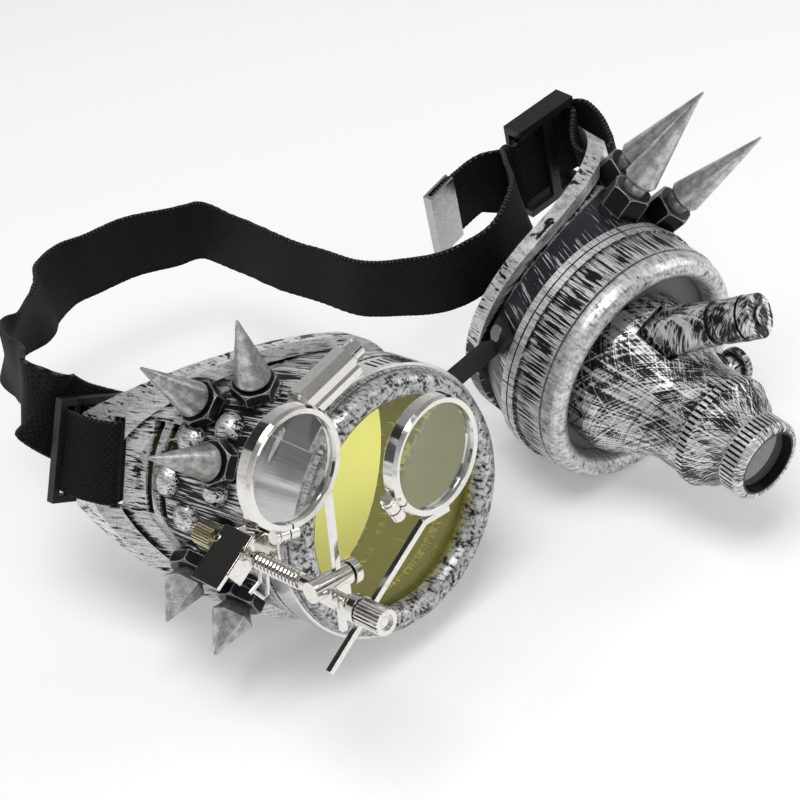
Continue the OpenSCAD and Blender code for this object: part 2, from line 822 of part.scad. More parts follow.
// Nose strip between the cups, with a rivet at each end
strip_w = 5;
strip_t = 1.6;
left_nose_t = 34;
right_nose_t = 44;
nose_y = 15.5;
rivet_r = 1.1;
function nose_at(t) = on_wall(nose_y, t, 0.4);
// Normal of the wall there, which narrows with depth
function nose_out(t) = [cos(t), -(flare_shift * cos(t) + flare_a - cup_r) / (flare_y - cup_y), sin(t)];
left_nose = from_left(nose_at(left_nose_t));
right_nose = from_right(nose_at(right_nose_t));
nose_dir = unit(right_nose - left_nose);
head_r = rivet_r + 1;
head_deep = 3;
module nose_hole(t) {
    along(nose_at(t), nose_out(t)) {
        translate([0, 0, -6]) cylinder(r = rivet_r + seat_gap, h = 12);
        translate([0, 0, -head_deep - 4]) cylinder(r = head_r + seat_gap, h = 4);
        translate([0, 0, tab_lift + strip_t]) cylinder(r = head_r + seat_gap, h = 6);
    }
}

// An end tab lies on each cup wall, and the strip runs between the tabs
tab_len = 7;
tab_lift = 0.2;
module nose_tab(t) {
    along(nose_at(t), nose_out(t)) translate([0, 0, tab_lift + strip_t / 2])
        cube([strip_w, tab_len, strip_t], center = true);
}

module nose_strip() {
    color("black") difference() {
        union() {
            hull() {
                at_left() nose_tab(left_nose_t);
                translate(left_nose + nose_dir * 3) cube([0.1, strip_t, strip_w], center = true);
            }
            hull() {
                translate(left_nose + nose_dir * 3) cube([0.1, strip_t, strip_w], center = true);
                translate(right_nose - nose_dir * 3) cube([0.1, strip_t, strip_w], center = true);
            }
            hull() {
                at_right() nose_tab(right_nose_t);
                translate(right_nose - nose_dir * 3) cube([0.1, strip_t, strip_w], center = true);
            }
        }
        at_left() nose_hole(left_nose_t);
        at_right() nose_hole(right_nose_t);
    }
}

module rivet(t) {
    along(nose_at(t), nose_out(t)) {
        translate([0, 0, -head_deep]) cylinder(r = rivet_r, h = head_deep + tab_lift + strip_t);
        translate([0, 0, -head_deep - 1]) cylinder(r = head_r, h = 1);
        translate([0, 0, tab_lift + strip_t]) cylinder(r = head_r, h = 0.8);
    }
}

module left_nose_rivet() {
    color("silver") at_left() rivet(left_nose_t);
}

module right_nose_rivet() {
    color("silver") at_right() rivet(right_nose_t);
}

// Cover disc in the right ring, with the telescope's light hole
light_r = 9;
module cover_disc() {
    color("slategray") at_right() difference() {
        sleeve(lens_d / 2, 0, lens_y, lens_y + lens_t);
        at_scope() sleeve(light_r, 0, lens_y - 1, lens_y + lens_t + 1);
    }
}

// Telescope frame: level with the side boss along +X of the unmirrored cup
scope_turn = 22.4;
scope_off = [-1.1, 0, -1.1];
module at_scope() {
    mirror([1, 0, 0]) rotate([0, scope_turn, 0]) translate(scope_off) children();
}

// Telescope profile, as depths in front of the ring's plane
foot_r = foot_d / 2;
tube_r = tube_d / 2;
foot_front = -4;
tube_front = -27.4;
tube_in = tube_r - tube_wall;
// Place and direction of the lever's pivot
pivot = [-0.3, -10, 16.8];
lever_dir = unit([0.25, -0.81, 0.53]);
lever_fi = atan2(lever_dir.y, lever_dir.x);
lever_th = acos(lever_dir.z);
lever_r = lever_d / 2;
// Frame of the lever: +Z along the barrel, +Y along the pivot pin
module at_lever() {
    translate(pivot) rotate([0, 0, lever_fi]) rotate([0, lever_th, 0]) children();
}

boss_y = -14;
boss_r = 5;
boss_end = 15.2;
knob_hole_r = 1.6;
pin_r = 1;
tongue_w = 2.6;
module scope_skin(d) {
    turned([[0, lens_y], [foot_r - d, lens_y], [foot_r - d, foot_front], [foot_r - 0.6 - d, -6],
        [(foot_r + tube_r) / 2 + 0.4 - d, -10], [tube_r + 1.1 - d, -15], [tube_r - d, -19], [tube_r - d, tube_front],
        [0, tube_front]]);
}

module telescope_body() {
    color("gray") at_right() at_scope() difference() {
        union() {
            difference() {
                union() {
                    scope_skin(0);
                    translate([0, boss_y, 0]) rotate([0, 90, 0]) cylinder(r = boss_r, h = boss_end - 1.2);
                    translate([boss_end - 1.2, boss_y, 0]) rotate([0, 90, 0]) cylinder(r = boss_r + 0.4, h = 1.2);
                }
                turned([[0, lens_y + 1], [light_r, lens_y + 1], [light_r, lens_y - 1.2], [foot_r - 2.2, lens_y - 1.2],
                    [foot_r - 2.2, foot_front], [tube_r + 1, -11], [tube_in, -19], [tube_in, tube_front - 1],
                    [0, tube_front - 1]]);
                at_lever() rotate([90, 0, 0]) translate([0, 0, -lever_r - free_gap])
                    cylinder(r = lever_r + free_gap, h = lever_d + 2 * free_gap);
            }
            intersection() {
                at_lever() difference() {
                    rotate([90, 0, 0]) translate([0, 0, -lever_r - 1.6])
                        cylinder(r = lever_r + 1.6, h = lever_d + 3.2);
                    rotate([90, 0, 0]) translate([0, 0, -lever_r - free_gap])
                        cylinder(r = lever_r + free_gap, h = lever_d + 2 * free_gap);
                }
                scope_skin(0.05);
            }
            at_lever() {
                rotate([90, 0, 0]) translate([0, 0, -tongue_w / 2]) cylinder(r = 2.4, h = tongue_w);
                rotate([0, 148, 0]) translate([-2.2, -tongue_w / 2, 0]) cube([4.4, tongue_w, lever_r + 0.9]);
            }
        }
        at_lever() rotate([90, 0, 0]) translate([0, 0, -10]) cylinder(r = pin_r + shaft_gap, h = 20);
        translate([tube_in - 2, boss_y, 0]) rotate([0, 90, 0]) cylinder(r = knob_hole_r + shaft_gap, h = 20);
        translate([boss_end, boss_y, 0]) rotate([0, 90, 0]) cylinder(r = boss_r + 0.5, h = 8);
    }
}

module objective_lens() {
    color("lightcyan") at_right() at_scope() sleeve(tube_in - seat_gap, 0, tube_front + 6.2, tube_front + 8);
}

// Focus barrel: spigot in the tube, milled ring, waisted front
milled_y1 = tube_front - free_gap;
milled_y0 = milled_y1 - 1.9;
spigot_len = 5;
neck_r = 8.4;
spigot_r = neck_r - 1.6;
waist_y = -36.4;
teeth = 60;
module focus_barrel() {
    color("gray") at_right() at_scope() difference() {
        union() {
            sleeve(tube_in - shaft_gap, 0, milled_y1 - 0.1, milled_y1 + spigot_len);
            turned([[0, milled_y1], [milled_d / 2, milled_y1], [milled_d / 2, milled_y0], [milled_d / 2 - 0.8, milled_y0 - 1],
                [milled_d / 2 - 2.1, milled_y0 - 3.6], [milled_d / 2 - 4, milled_y0 - 5], [neck_r, waist_y], [0, waist_y]]);
            sleeve(spigot_r, 0, waist_y - 2, waist_y + 0.1);
        }
        sleeve(spigot_r - 1, 0, waist_y - 3, milled_y1 + 1);
        sleeve(tube_in - 1.6, 0, milled_y1 - 1, milled_y1 + spigot_len + 1);
        for (i = [0:teeth - 1]) {
            rotate([0, i * 360 / teeth, 0]) translate([milled_d / 2 + 0.15, milled_y1 - 0.9, 0])
                cube([0.9, 3, 0.65], center = true);
        }
    }
}

// Eyepiece cap: ribbed band, plain bezel, mouth bore in front of its lens
cap_r = cap_d / 2;
eye_r = eye_bore_d / 2;
cap_y1 = waist_y - free_gap;
cap_y0 = cap_y1 - 6;
mouth_len = 2.2;
eye_glass_r = eye_r - 0.5;
eye_glass_t = 1.2;
cap_ribs = 48;
module eyepiece_cap() {
    color("gray") at_right() at_scope() difference() {
        turned([[0, cap_y1], [cap_r - 0.5, cap_y1], [cap_r, cap_y1 - 0.5], [cap_r, cap_y0 + 1.2],
            [cap_r - 0.7, cap_y0], [0, cap_y0]]);
        sleeve(spigot_r + thread_gap, 0, cap_y1 - 2.2, cap_y1 + 1);
        sleeve(eye_glass_r - 0.7, 0, cap_y0 - 1, cap_y1 + 1);
        sleeve(eye_r, 0, cap_y0 - 1, cap_y0 + mouth_len);
        sleeve(eye_glass_r, 0, cap_y0 - 1, cap_y0 + mouth_len + eye_glass_t);
        for (i = [0:cap_ribs - 1]) {
            rotate([0, i * 360 / cap_ribs, 0]) translate([cap_r + 0.1, (cap_y1 + cap_y0) / 2 + 0.4, 0])
                cube([0.7, cap_y1 - cap_y0 - 2.4, 0.55], center = true);
        }
    }
}

module eyepiece_lens() {
    color("lightgray") at_right() at_scope()
        sleeve(eye_glass_r - seat_gap, 0, cap_y0 + mouth_len, cap_y0 + mouth_len + eye_glass_t);
}

// Lever: square root round its pin, round barrel with a groove, knob on the end
root_w = 8;
barrel_s = 12;
lever_end = 19.6;
module lever_barrel() {
    color("gray") at_right() at_scope() at_lever() difference() {
        union() {
            hull() {
                rotate([90, 0, 0]) translate([0, 0, -root_w / 2]) cylinder(r = lever_r - 0.6, h = root_w, $fn = 32);
                translate([0, 0, barrel_s]) cylinder(r = lever_r, h = 1, $fn = 32);
            }
            translate([0, 0, barrel_s]) cylinder(r = lever_r - 0.7, h = lever_end - barrel_s);
            translate([0, 0, barrel_s + 3.4]) cylinder(r = lever_r, h = lever_end - barrel_s - 3.4);
        }
        translate([-lever_r - 2, -tongue_w / 2 - free_gap, -lever_r - 2]) cube([lever_d + 4, tongue_w + 2 * free_gap, lever_r + 5.4]);
        rotate([90, 0, 0]) translate([0, 0, -10]) cylinder(r = pin_r + seat_gap, h = 20);
        translate([0, 0, lever_end - 4]) cylinder(r = 1.5 + shaft_gap, h = 5);
    }
}

module lever_pin() {
    color("silver") at_right() at_scope() at_lever() rotate([90, 0, 0]) translate([0, 0, -root_w / 2])
        cylinder(r = pin_r, h = root_w);
}

module lever_knob() {
    color("dimgray") at_right() at_scope() at_lever() {
        translate([0, 0, lever_end + free_gap]) cylinder(r = lever_r + 0.1, h = 1);
        translate([0, 0, lever_end + free_gap + 0.9]) cylinder(r = lever_r - 0.6, h = 0.8);
        translate([0, 0, lever_end + free_gap + 1.6]) cylinder(r = lever_r, h = 2.8);
        translate([0, 0, lever_end + free_gap + 4.3]) cylinder(r = 2.2, h = 0.7);
        translate([0, 0, lever_end - 3.6]) cylinder(r = 1.5, h = 4.2);
    }
}

// Side knob in the boss
module side_knob() {
    color("dimgray") at_right() at_scope() translate([0, boss_y, 0]) rotate([0, 90, 0]) {
        translate([0, 0, tube_in + 0.4]) cylinder(r = knob_hole_r, h = boss_end - tube_in);
        translate([0, 0, boss_end + free_gap]) cylinder(r = 3, h = 4.4);
        translate([0, 0, boss_end + free_gap + 4.3]) cylinder(r = 4.4, h = 1.6);
    }
}

// Left buckle: a frame with a middle bar behind the temple edge of the flange
buckle_y = back_y + 0.6;
buckle_out = -45.8;
buckle_in = -28;
buckle_half = strap_w / 2 + 0.8 + bar_w;
buckle_turn = 2.5;
mid_bar = -41.2;
module left_buckle() {
    color("black") at_left() translate([mid_bar, buckle_y, slot_c]) rotate([0, buckle_turn, 0]) {
        difference() {
            translate([buckle_out - mid_bar, 0, -buckle_half])
                cube([buckle_in - buckle_out, bar_t, 2 * buckle_half]);
            translate([buckle_out - mid_bar + bar_w, -1, bar_w - buckle_half])
                cube([buckle_in - buckle_out - 2 * bar_w, bar_t + 2, 2 * (buckle_half - bar_w)]);
        }
        translate([-0.7, 0.4, 0.5 - buckle_half]) cube([1.4, bar_t - 0.8, 2 * buckle_half - 1]);
    }
}

// Sweeps the strap: path points are its middle line, dirs its width direction
module ribbon(p, dirs, w, t) {
    n = len(p);
    pts = [for (i = [0:n - 1]) let (a = slope(p, i), h = unit(dirs[i] - a * (dirs[i] * a)), o = cross(a, h))
        for (k = [[-1, -1], [1, -1], [1, 1], [-1, 1]]) p[i] + h * w / 2 * k[0] + o * t / 2 * k[1]];
    sides = [for (i = [0:n - 2]) for (k = [0:3]) let (j = (k + 1) % 4) each
        [[i * 4 + k, (i + 1) * 4 + j, i * 4 + j], [i * 4 + k, (i + 1) * 4 + k, (i + 1) * 4 + j]]];
    polyhedron(points = pts, faces = concat(sides, [[0, 1, 2, 3],
        [n * 4 - 1, n * 4 - 2, n * 4 - 3, n * 4 - 4]]));
}

// Smooth curve through points, with m steps between two of them
function curve_at(p, i, u) = let (a = p[max(i - 1, 0)], b = p[i], c = p[i + 1], d = p[min(i + 2, len(p) - 1)])
    0.5 * (2 * b + (c - a) * u + (2 * a - 5 * b + 4 * c - d) * u * u + (3 * b - a - 3 * c + d) * u * u * u);
function smooth(p, m) = concat([for (i = [0:len(p) - 2]) for (k = [0:m - 1]) curve_at(p, i, k / m)],
    [p[len(p) - 1]]);

// Tab loop: through the flange slot, over the flange edge and round the buckle's middle bar
tab_pts = [[-35.6, 47.1], [-37.7, 45.9], [-39.7, 44.8], [-41.8, 47], [-43.2, 51.5], [-43.4, 56], [-43, 59.2],
    [-41.3, 60.9], [-39.3, 59.9], [-37.2, 57], [-34.9, 52.5], [-34.4, 49.2]];
function bend_out(p, i) = let (n = len(p), d = unit(p[(i + 1) % n] - p[(i + n - 1) % n])) [-d.y, d.x];
module left_strap_tab() {
    path = [for (i = [0:len(tab_pts) - 1]) for (u = [0, 0.34, 0.67]) loop_at(tab_pts, i, u)];
    n = len(path);
    color("black") at_left() translate([0, 0, slot_c - strap_w / 2]) linear_extrude(strap_w)
        polygon(points = concat([for (i = [0:n - 1]) path[i] + bend_out(path, i) * strap_t / 2],
            [for (i = [0:n - 1]) path[i] - bend_out(path, i) * strap_t / 2]),
            paths = [[for (i = [0:n - 1]) i], [for (i = [0:n - 1]) n + i]]);
}

// Point on the closed smooth curve through p, between point i and the next
function loop_at(p, i, u) = let (n = len(p), a = p[(i + n - 1) % n], b = p[i], c = p[(i + 1) % n], d = p[(i + 2) % n])
    0.5 * (2 * b + (c - a) * u + (2 * a - 5 * b + 4 * c - d) * u * u + (3 * b - a - 3 * c + d) * u * u * u);

// Slider: rails above and below, side bars behind the strap and the middle bar before it
slider_at = [73, 59, 47] - origin_at;
slider_lean = -7;
slider_len = 19;
slider_half = 13;
module at_slider() {
    translate(slider_at) rotate([0, slider_lean, 0]) children();
}

layer_gap = 0.25;
front_layer = -strap_t / 2 - layer_gap / 2;
back_layer = strap_t / 2 + layer_gap / 2;
stack = strap_t + layer_gap / 2 + free_gap;
module strap_slider() {
    color("black") at_slider() {
        for (s = [-1, 1]) {
            translate([-slider_len / 2, -stack - 1.3, s * (slider_half - 1) - 1])
                cube([slider_len, 2 * stack + 2.6, 2]);
            translate([s * (slider_len / 2 - 1.2) - 1.2, stack, -slider_half + 1])
                cube([2.4, 1.3, 2 * slider_half - 2]);
        }
        translate([-1.4, -stack - 1.3, -slider_half + 1]) cube([2.8, 1.3, 2 * slider_half - 2]);
    }
}

// Head strap: folded round the left buckle, round the back, through the slider, out through the right
// flange slot, back through the slider and along itself to its clipped end
fold_pts = [[-34, 56, 2.2], [-30.5, 55.9, 2.2], [-27.9, 56, 2.4], [-26.4, 58.3, 2.9], [-27.9, 60.8, 3.6],
    [-33, 62.4, 5], [-38, 63, 6.6], [-42.5, 63.4, 9]];
back_pts = [[-77, 64.3, 51.5], [-77.4, 69, 51.6], [-72, 80.5, 46.8], [-64, 100.4, 41],
    [-49, 109.5, 39.7], [-42, 116.5, 38.8], [-34, 120.7, 37.8], [-26, 121.4, 36.9], [-14, 121.6, 35.9],
    [-3, 118.3, 34.8], [4, 114.8, 34.8], [5.3, 101.4, 35.6], [5.2, 84.2, 37.6], [6.8, 71, 38.5],
    [7.8, 57.3, 40.6], [11.9, 47.2, 42.6], [17, 38, 45.7], [23, 33, 48.7], [30.8, 31.7, 51.4],
    [43.5, 38.2, 52.6], [52.5, 48.6, 50.4]];
back_dirs = [[0.16, -0.04, 0.98], [0.09, -0.24, 0.96], [-0.1, -0.45, 0.89], [-0.25, -0.6, 0.76],
    [-0.2, -0.2, 0.96], [-0.2, -0.05, 0.98], [-0.18, -0.03, 0.98], [-0.13, -0.06, 0.99], [-0.14, -0.04, 0.99],
    [-0.1, -0.07, 0.99], [0, -0.2, 0.98], [-0.07, -0.25, 0.96], [-0.08, -0.28, 0.96], [-0.12, -0.3, 0.95],
    [-0.12, -0.27, 0.95], [-0.11, -0.28, 0.96], [-0.1, -0.2, 0.97], [-0.2, -0.1, 0.97], [-0.3, -0.13, 0.94],
    [-0.4, -0.14, 0.9], [-0.35, -0.12, 0.93]];
loop_pts = [[-40.8, 62.9, 1.3], [-42.2, 61.2, 1.7], [-40.7, 59.2, 2], [-37.6, 56, 2], [-34.9, 52.3, 2],
    [-34.3, 49.2, 2], [-35.3, 47.3, 2], [-37.7, 45.9, 2], [-39.6, 44.8, 2], [-41.4, 45.8, 2], [-43, 48.6, 2],
    [-44.6, 52.5, 2], [-45.7, 57, 1.8], [-45.9, 60.8, 1.4], [-44.4, 63.2, 0.8]];
tail_pts = [[53, 61.6, 46.6], [46, 61.9, 45.2], [41, 61.2, 44.2], [36, 60.5, 43.2]];
tail_dirs = [[-0.25, -0.1, 0.95], [-0.25, -0.1, 0.95], [-0.25, -0.1, 0.95], [-0.25, -0.1, 0.95]];
function in_slider(x, layer) = slider_at + turn_y([x, layer, 0], slider_lean);
function left_z() = from_left([0, 0, 1]) - from_left([0, 0, 0]);
function right_z() = from_right([0, 0, 1]) - from_right([0, 0, 0]);
slider_z = turn_y([0, 0, 1], slider_lean);
// The loop's width direction turns from the slider's to the cup's and back
function loop_k(i) = min(1, i / 3, (len(loop_pts) - 1 - i) / 4);
loop_dirs = [for (i = [0:len(loop_pts) - 1]) slider_z + (right_z() - slider_z) * loop_k(i)];
head_path = concat([for (p = fold_pts) from_left(p)], [for (p = back_pts) p - origin_at],
    [for (x = [-13, -9, -4, 0, 4]) in_slider(x, front_layer)], [for (p = loop_pts) from_right(p)],
    [in_slider(8.5, back_layer - 0.15)],
    [for (x = [5, 0, -4.5, -9, -13.5]) in_slider(x, back_layer)], [for (p = tail_pts) p - origin_at]);
head_dirs = concat([for (p = fold_pts) left_z()], back_dirs, [for (i = [1:5]) slider_z],
    loop_dirs, [for (i = [1:6]) slider_z], tail_dirs);
module head_strap() {
    color("black") ribbon(smooth(head_path, 3), smooth(head_dirs, 3), strap_w, strap_t);
}

// Pressed metal clip over the strap's end
clip_w = 9;
module strap_end_clip() {
    p = tail_pts[3] - origin_at;
    d = unit(tail_pts[2] - tail_pts[3]);
    h = unit(tail_dirs[3] - d * (tail_dirs[3] * d));
    o = cross(d, h);
    color("silver") multmatrix([[d.x, o.x, h.x, p.x], [d.y, o.y, h.y, p.y], [d.z, o.z, h.z, p.z], [0, 0, 0, 1]])
        difference() {
            translate([-1, -strap_t / 2 - 0.7, -strap_w / 2 - 0.4]) cube([clip_w, strap_t + 1.4, strap_w + 0.8]);
            translate([-0.1, -strap_t / 2 - 0.1, -strap_w / 2 - 1]) cube([clip_w + 1, strap_t + 0.2, strap_w + 2]);
        }
}

left_cup_shell();
left_front_ring();
left_lens();
left_gasket();
left_upper_spikes();
left_lower_spikes();
left_spike_nuts();
left_spike_screws();
clamp_band();
clamp_housing();
clamp_screw();
clip_bracket();
clip_thumb_nut();
clip_legs();
loupe_rod();
rod_spring();
inner_block();
inner_block_screw();
inner_arm();
inner_loupe_rim();
inner_loupe_lens();
inner_rim_screw();
outer_block();
rod_end_nut();
outer_arm();
outer_loupe_rim();
outer_loupe_lens();
outer_rim_screw();
nose_strip();
left_nose_rivet();
right_nose_rivet();
right_cup_shell();
right_front_ring();
cover_disc();
right_gasket();
right_spikes();
right_spike_nuts();
right_spike_screws();
telescope_body();
objective_lens();
focus_barrel();
eyepiece_cap();
eyepiece_lens();
lever_barrel();
lever_pin();
lever_knob();
side_knob();
head_strap();
left_strap_tab();
left_buckle();
strap_slider();
strap_end_clip();
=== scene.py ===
"""Steampunk goggles: finishes, elastic webbing, lights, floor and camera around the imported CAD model."""

import math

import bmesh
import bpy
import numpy as np
from mathutils import Matrix, Vector


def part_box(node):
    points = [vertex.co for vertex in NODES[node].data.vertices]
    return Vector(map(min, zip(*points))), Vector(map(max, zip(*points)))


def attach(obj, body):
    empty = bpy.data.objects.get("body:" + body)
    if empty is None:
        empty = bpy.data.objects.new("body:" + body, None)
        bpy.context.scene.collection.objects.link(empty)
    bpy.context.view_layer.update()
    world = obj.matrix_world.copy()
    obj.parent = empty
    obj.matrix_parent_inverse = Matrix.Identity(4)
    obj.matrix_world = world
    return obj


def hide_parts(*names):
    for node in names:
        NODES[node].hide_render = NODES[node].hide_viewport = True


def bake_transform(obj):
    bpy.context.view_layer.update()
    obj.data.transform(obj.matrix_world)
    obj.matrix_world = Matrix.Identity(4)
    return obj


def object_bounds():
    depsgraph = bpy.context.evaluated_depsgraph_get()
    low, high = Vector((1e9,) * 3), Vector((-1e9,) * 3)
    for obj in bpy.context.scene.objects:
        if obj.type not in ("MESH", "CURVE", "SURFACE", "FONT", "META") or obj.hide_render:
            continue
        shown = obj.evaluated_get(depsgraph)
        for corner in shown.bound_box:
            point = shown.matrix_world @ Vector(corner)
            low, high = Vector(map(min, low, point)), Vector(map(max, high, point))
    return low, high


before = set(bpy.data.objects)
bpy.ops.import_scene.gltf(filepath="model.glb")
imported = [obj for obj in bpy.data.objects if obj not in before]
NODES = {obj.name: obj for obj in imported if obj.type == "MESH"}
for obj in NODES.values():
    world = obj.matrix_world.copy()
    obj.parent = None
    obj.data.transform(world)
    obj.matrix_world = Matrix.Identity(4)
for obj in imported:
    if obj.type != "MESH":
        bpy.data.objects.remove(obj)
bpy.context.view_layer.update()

MM = 0.001

# Frame of the part: everything is drawn from the point midway between the lenses, then moved by this
ORIGIN_AT = Vector((2.1, 38.9, -1))

# Pose of each cup, as in the CAD: lens centre in mm, then yaw, tilt and roll in degrees
LEFT_AT = Vector((-35.3, -1.7, 33.7)) - ORIGIN_AT
LEFT_TURN = (3.4, -9.9, 23.6)
RIGHT_AT = Vector((39.3, -1.7, 28.9)) - ORIGIN_AT
RIGHT_TURN = (-3.1, 4.9, -18.5)
SCOPE_TURN = 22.4
SCOPE_OFF = (-1.1, 0, -1.1)

# Camera of the photograph
CAMERA_AT = Vector((-235.57, -257.20, 302.96)) - ORIGIN_AT
CAMERA_RIGHT = Vector((0.7361, -0.6715, -0.0849))
CAMERA_UP = Vector((0.4549, 0.3979, 0.7967))
CAMERA_BACK = Vector((-0.5012, -0.6251, 0.5983))
CAMERA_LENS = 90

# Depths and curves of the level cups, as in the CAD: front barrel, collars, flared wall and face curve
BARREL_MID = 4.5
COLLAR_Y = 8.45
CUP_Y = 12.25
CUP_R = 29.98
FLARE_Y = 50
FLARE_SHIFT = -12.2
FLARE_A = 24.8
FLARE_B = 24.2
FACE_A = 5
FACE_R = 49.7
FACE_Y = 71.2

# Light that the floor adds for the camera and in reflections, and for the camera far away
FLOOR_LIFT = 0.2
FAR_LIFT = 0.4

# Cups: how streaks of two sizes run across and along them, radius of the bore and bumps as depth and angle
STREAKS = ((1.5, 0.075), (3.0, 0.16))
BORE_R = 27.4
BUMP_R = 4.2
BUMPS = [(30.3, 158), (34.3, 179), (21, 177), (28.9, -166), (22.2, 150)]

# Telescope: scratches round its axis and along it, the twist of each set in radians per mm, ribbed rings as
# an outer radius and a depth range, and the radius of the cap's black mouth
SCRATCH_TURN = 29
SCRATCH_RUN = 0.11
SCRATCH_TWISTS = (0.0, 0.07, -0.06, 0.19)
MILLED_RIBS = (13.6, -29.6, -27.7)
CAP_RIBS = (9.6, -41.1, -37.5)
MOUTH_R = 8.0

# Share of silver paint: added to noise about 0.5, so a lower number leaves more black
CUP_COVER = -0.405
LEFT_WALL_COVER = -0.085
RIGHT_WALL_COVER = -0.25
LEFT_RING_COVER = -0.285
RIGHT_RING_COVER = -0.225
SCOPE_COVER = -0.425
CAP_COVER = -0.37
KNOB_COVER = -0.45

# Colours of paint, plastic and lenses
BLACK_PAINT = (0.006, 0.006, 0.007, 1)
SLATE_PAINT = (0.014, 0.015, 0.019, 1)
BLACK_RUBBER = (0.012, 0.012, 0.013, 1)
YELLOW_TINT = (1.0, 0.995, 0.52, 1)
YELLOW_GLOW = (0.98, 0.93, 0.22, 1)

# Edges sharper than this many degrees stay sharp
SHARP_EDGE = 32

# Studio: power of the lamps in watts and grey of the boards that only reflections show
KEY_POWER = 3.0
SIDE_POWER = 1.1
BOARD_GREY = 0.022

# Elastic webbing
STRAP_W = 18.4
STRAP_T = 1.1
BEAD_STEP = 1.15
STRAP_STEP = 0.38

# Slices of the nose strip between its rivets
STRIP_CUTS = 24


def cup_matrix(at, turn):
    """Level cup to the assembly, in mm."""
    yaw, tilt, roll = (math.radians(a) for a in turn)
    turned = Matrix.Rotation(yaw, 4, "Z") @ Matrix.Rotation(tilt, 4, "X") @ Matrix.Rotation(roll, 4, "Y")
    return Matrix.Translation(at) @ turned


LEFT = cup_matrix(LEFT_AT, LEFT_TURN)
RIGHT = cup_matrix(RIGHT_AT, RIGHT_TURN)
MIRROR = Matrix.Diagonal((-1, 1, 1, 1))
SCOPE = RIGHT @ Matrix.Rotation(math.radians(SCOPE_TURN), 4, "Y") @ Matrix.Translation(SCOPE_OFF)


def wall_point(depth, angle, side):
    """Point of the flared wall, in mm in its level cup."""
    k = max(0, (depth - CUP_Y) / (FLARE_Y - CUP_Y))
    across = FLARE_SHIFT * k + (CUP_R + (FLARE_A - CUP_R) * k) * math.cos(math.radians(angle))
    return (across * side, depth, (CUP_R + (FLARE_B - CUP_R) * k) * math.sin(math.radians(angle)))


def placed(name, data):
    """New object in the scene."""
    made = bpy.data.objects.new(name, data)
    bpy.context.scene.collection.objects.link(made)
    return made


def aim_at(thing, at, aim):
    """Puts a lamp or board at a point, facing another."""
    thing.location = at
    thing.rotation_mode = "QUATERNION"
    thing.rotation_quaternion = (Vector(aim) - Vector(at)).to_track_quat("-Z", "Y")


def smooth(mesh):
    """Smooth shading across shallow edges."""
    mesh.shade_smooth()
    mesh.set_sharp_from_angle(angle=math.radians(SHARP_EDGE))


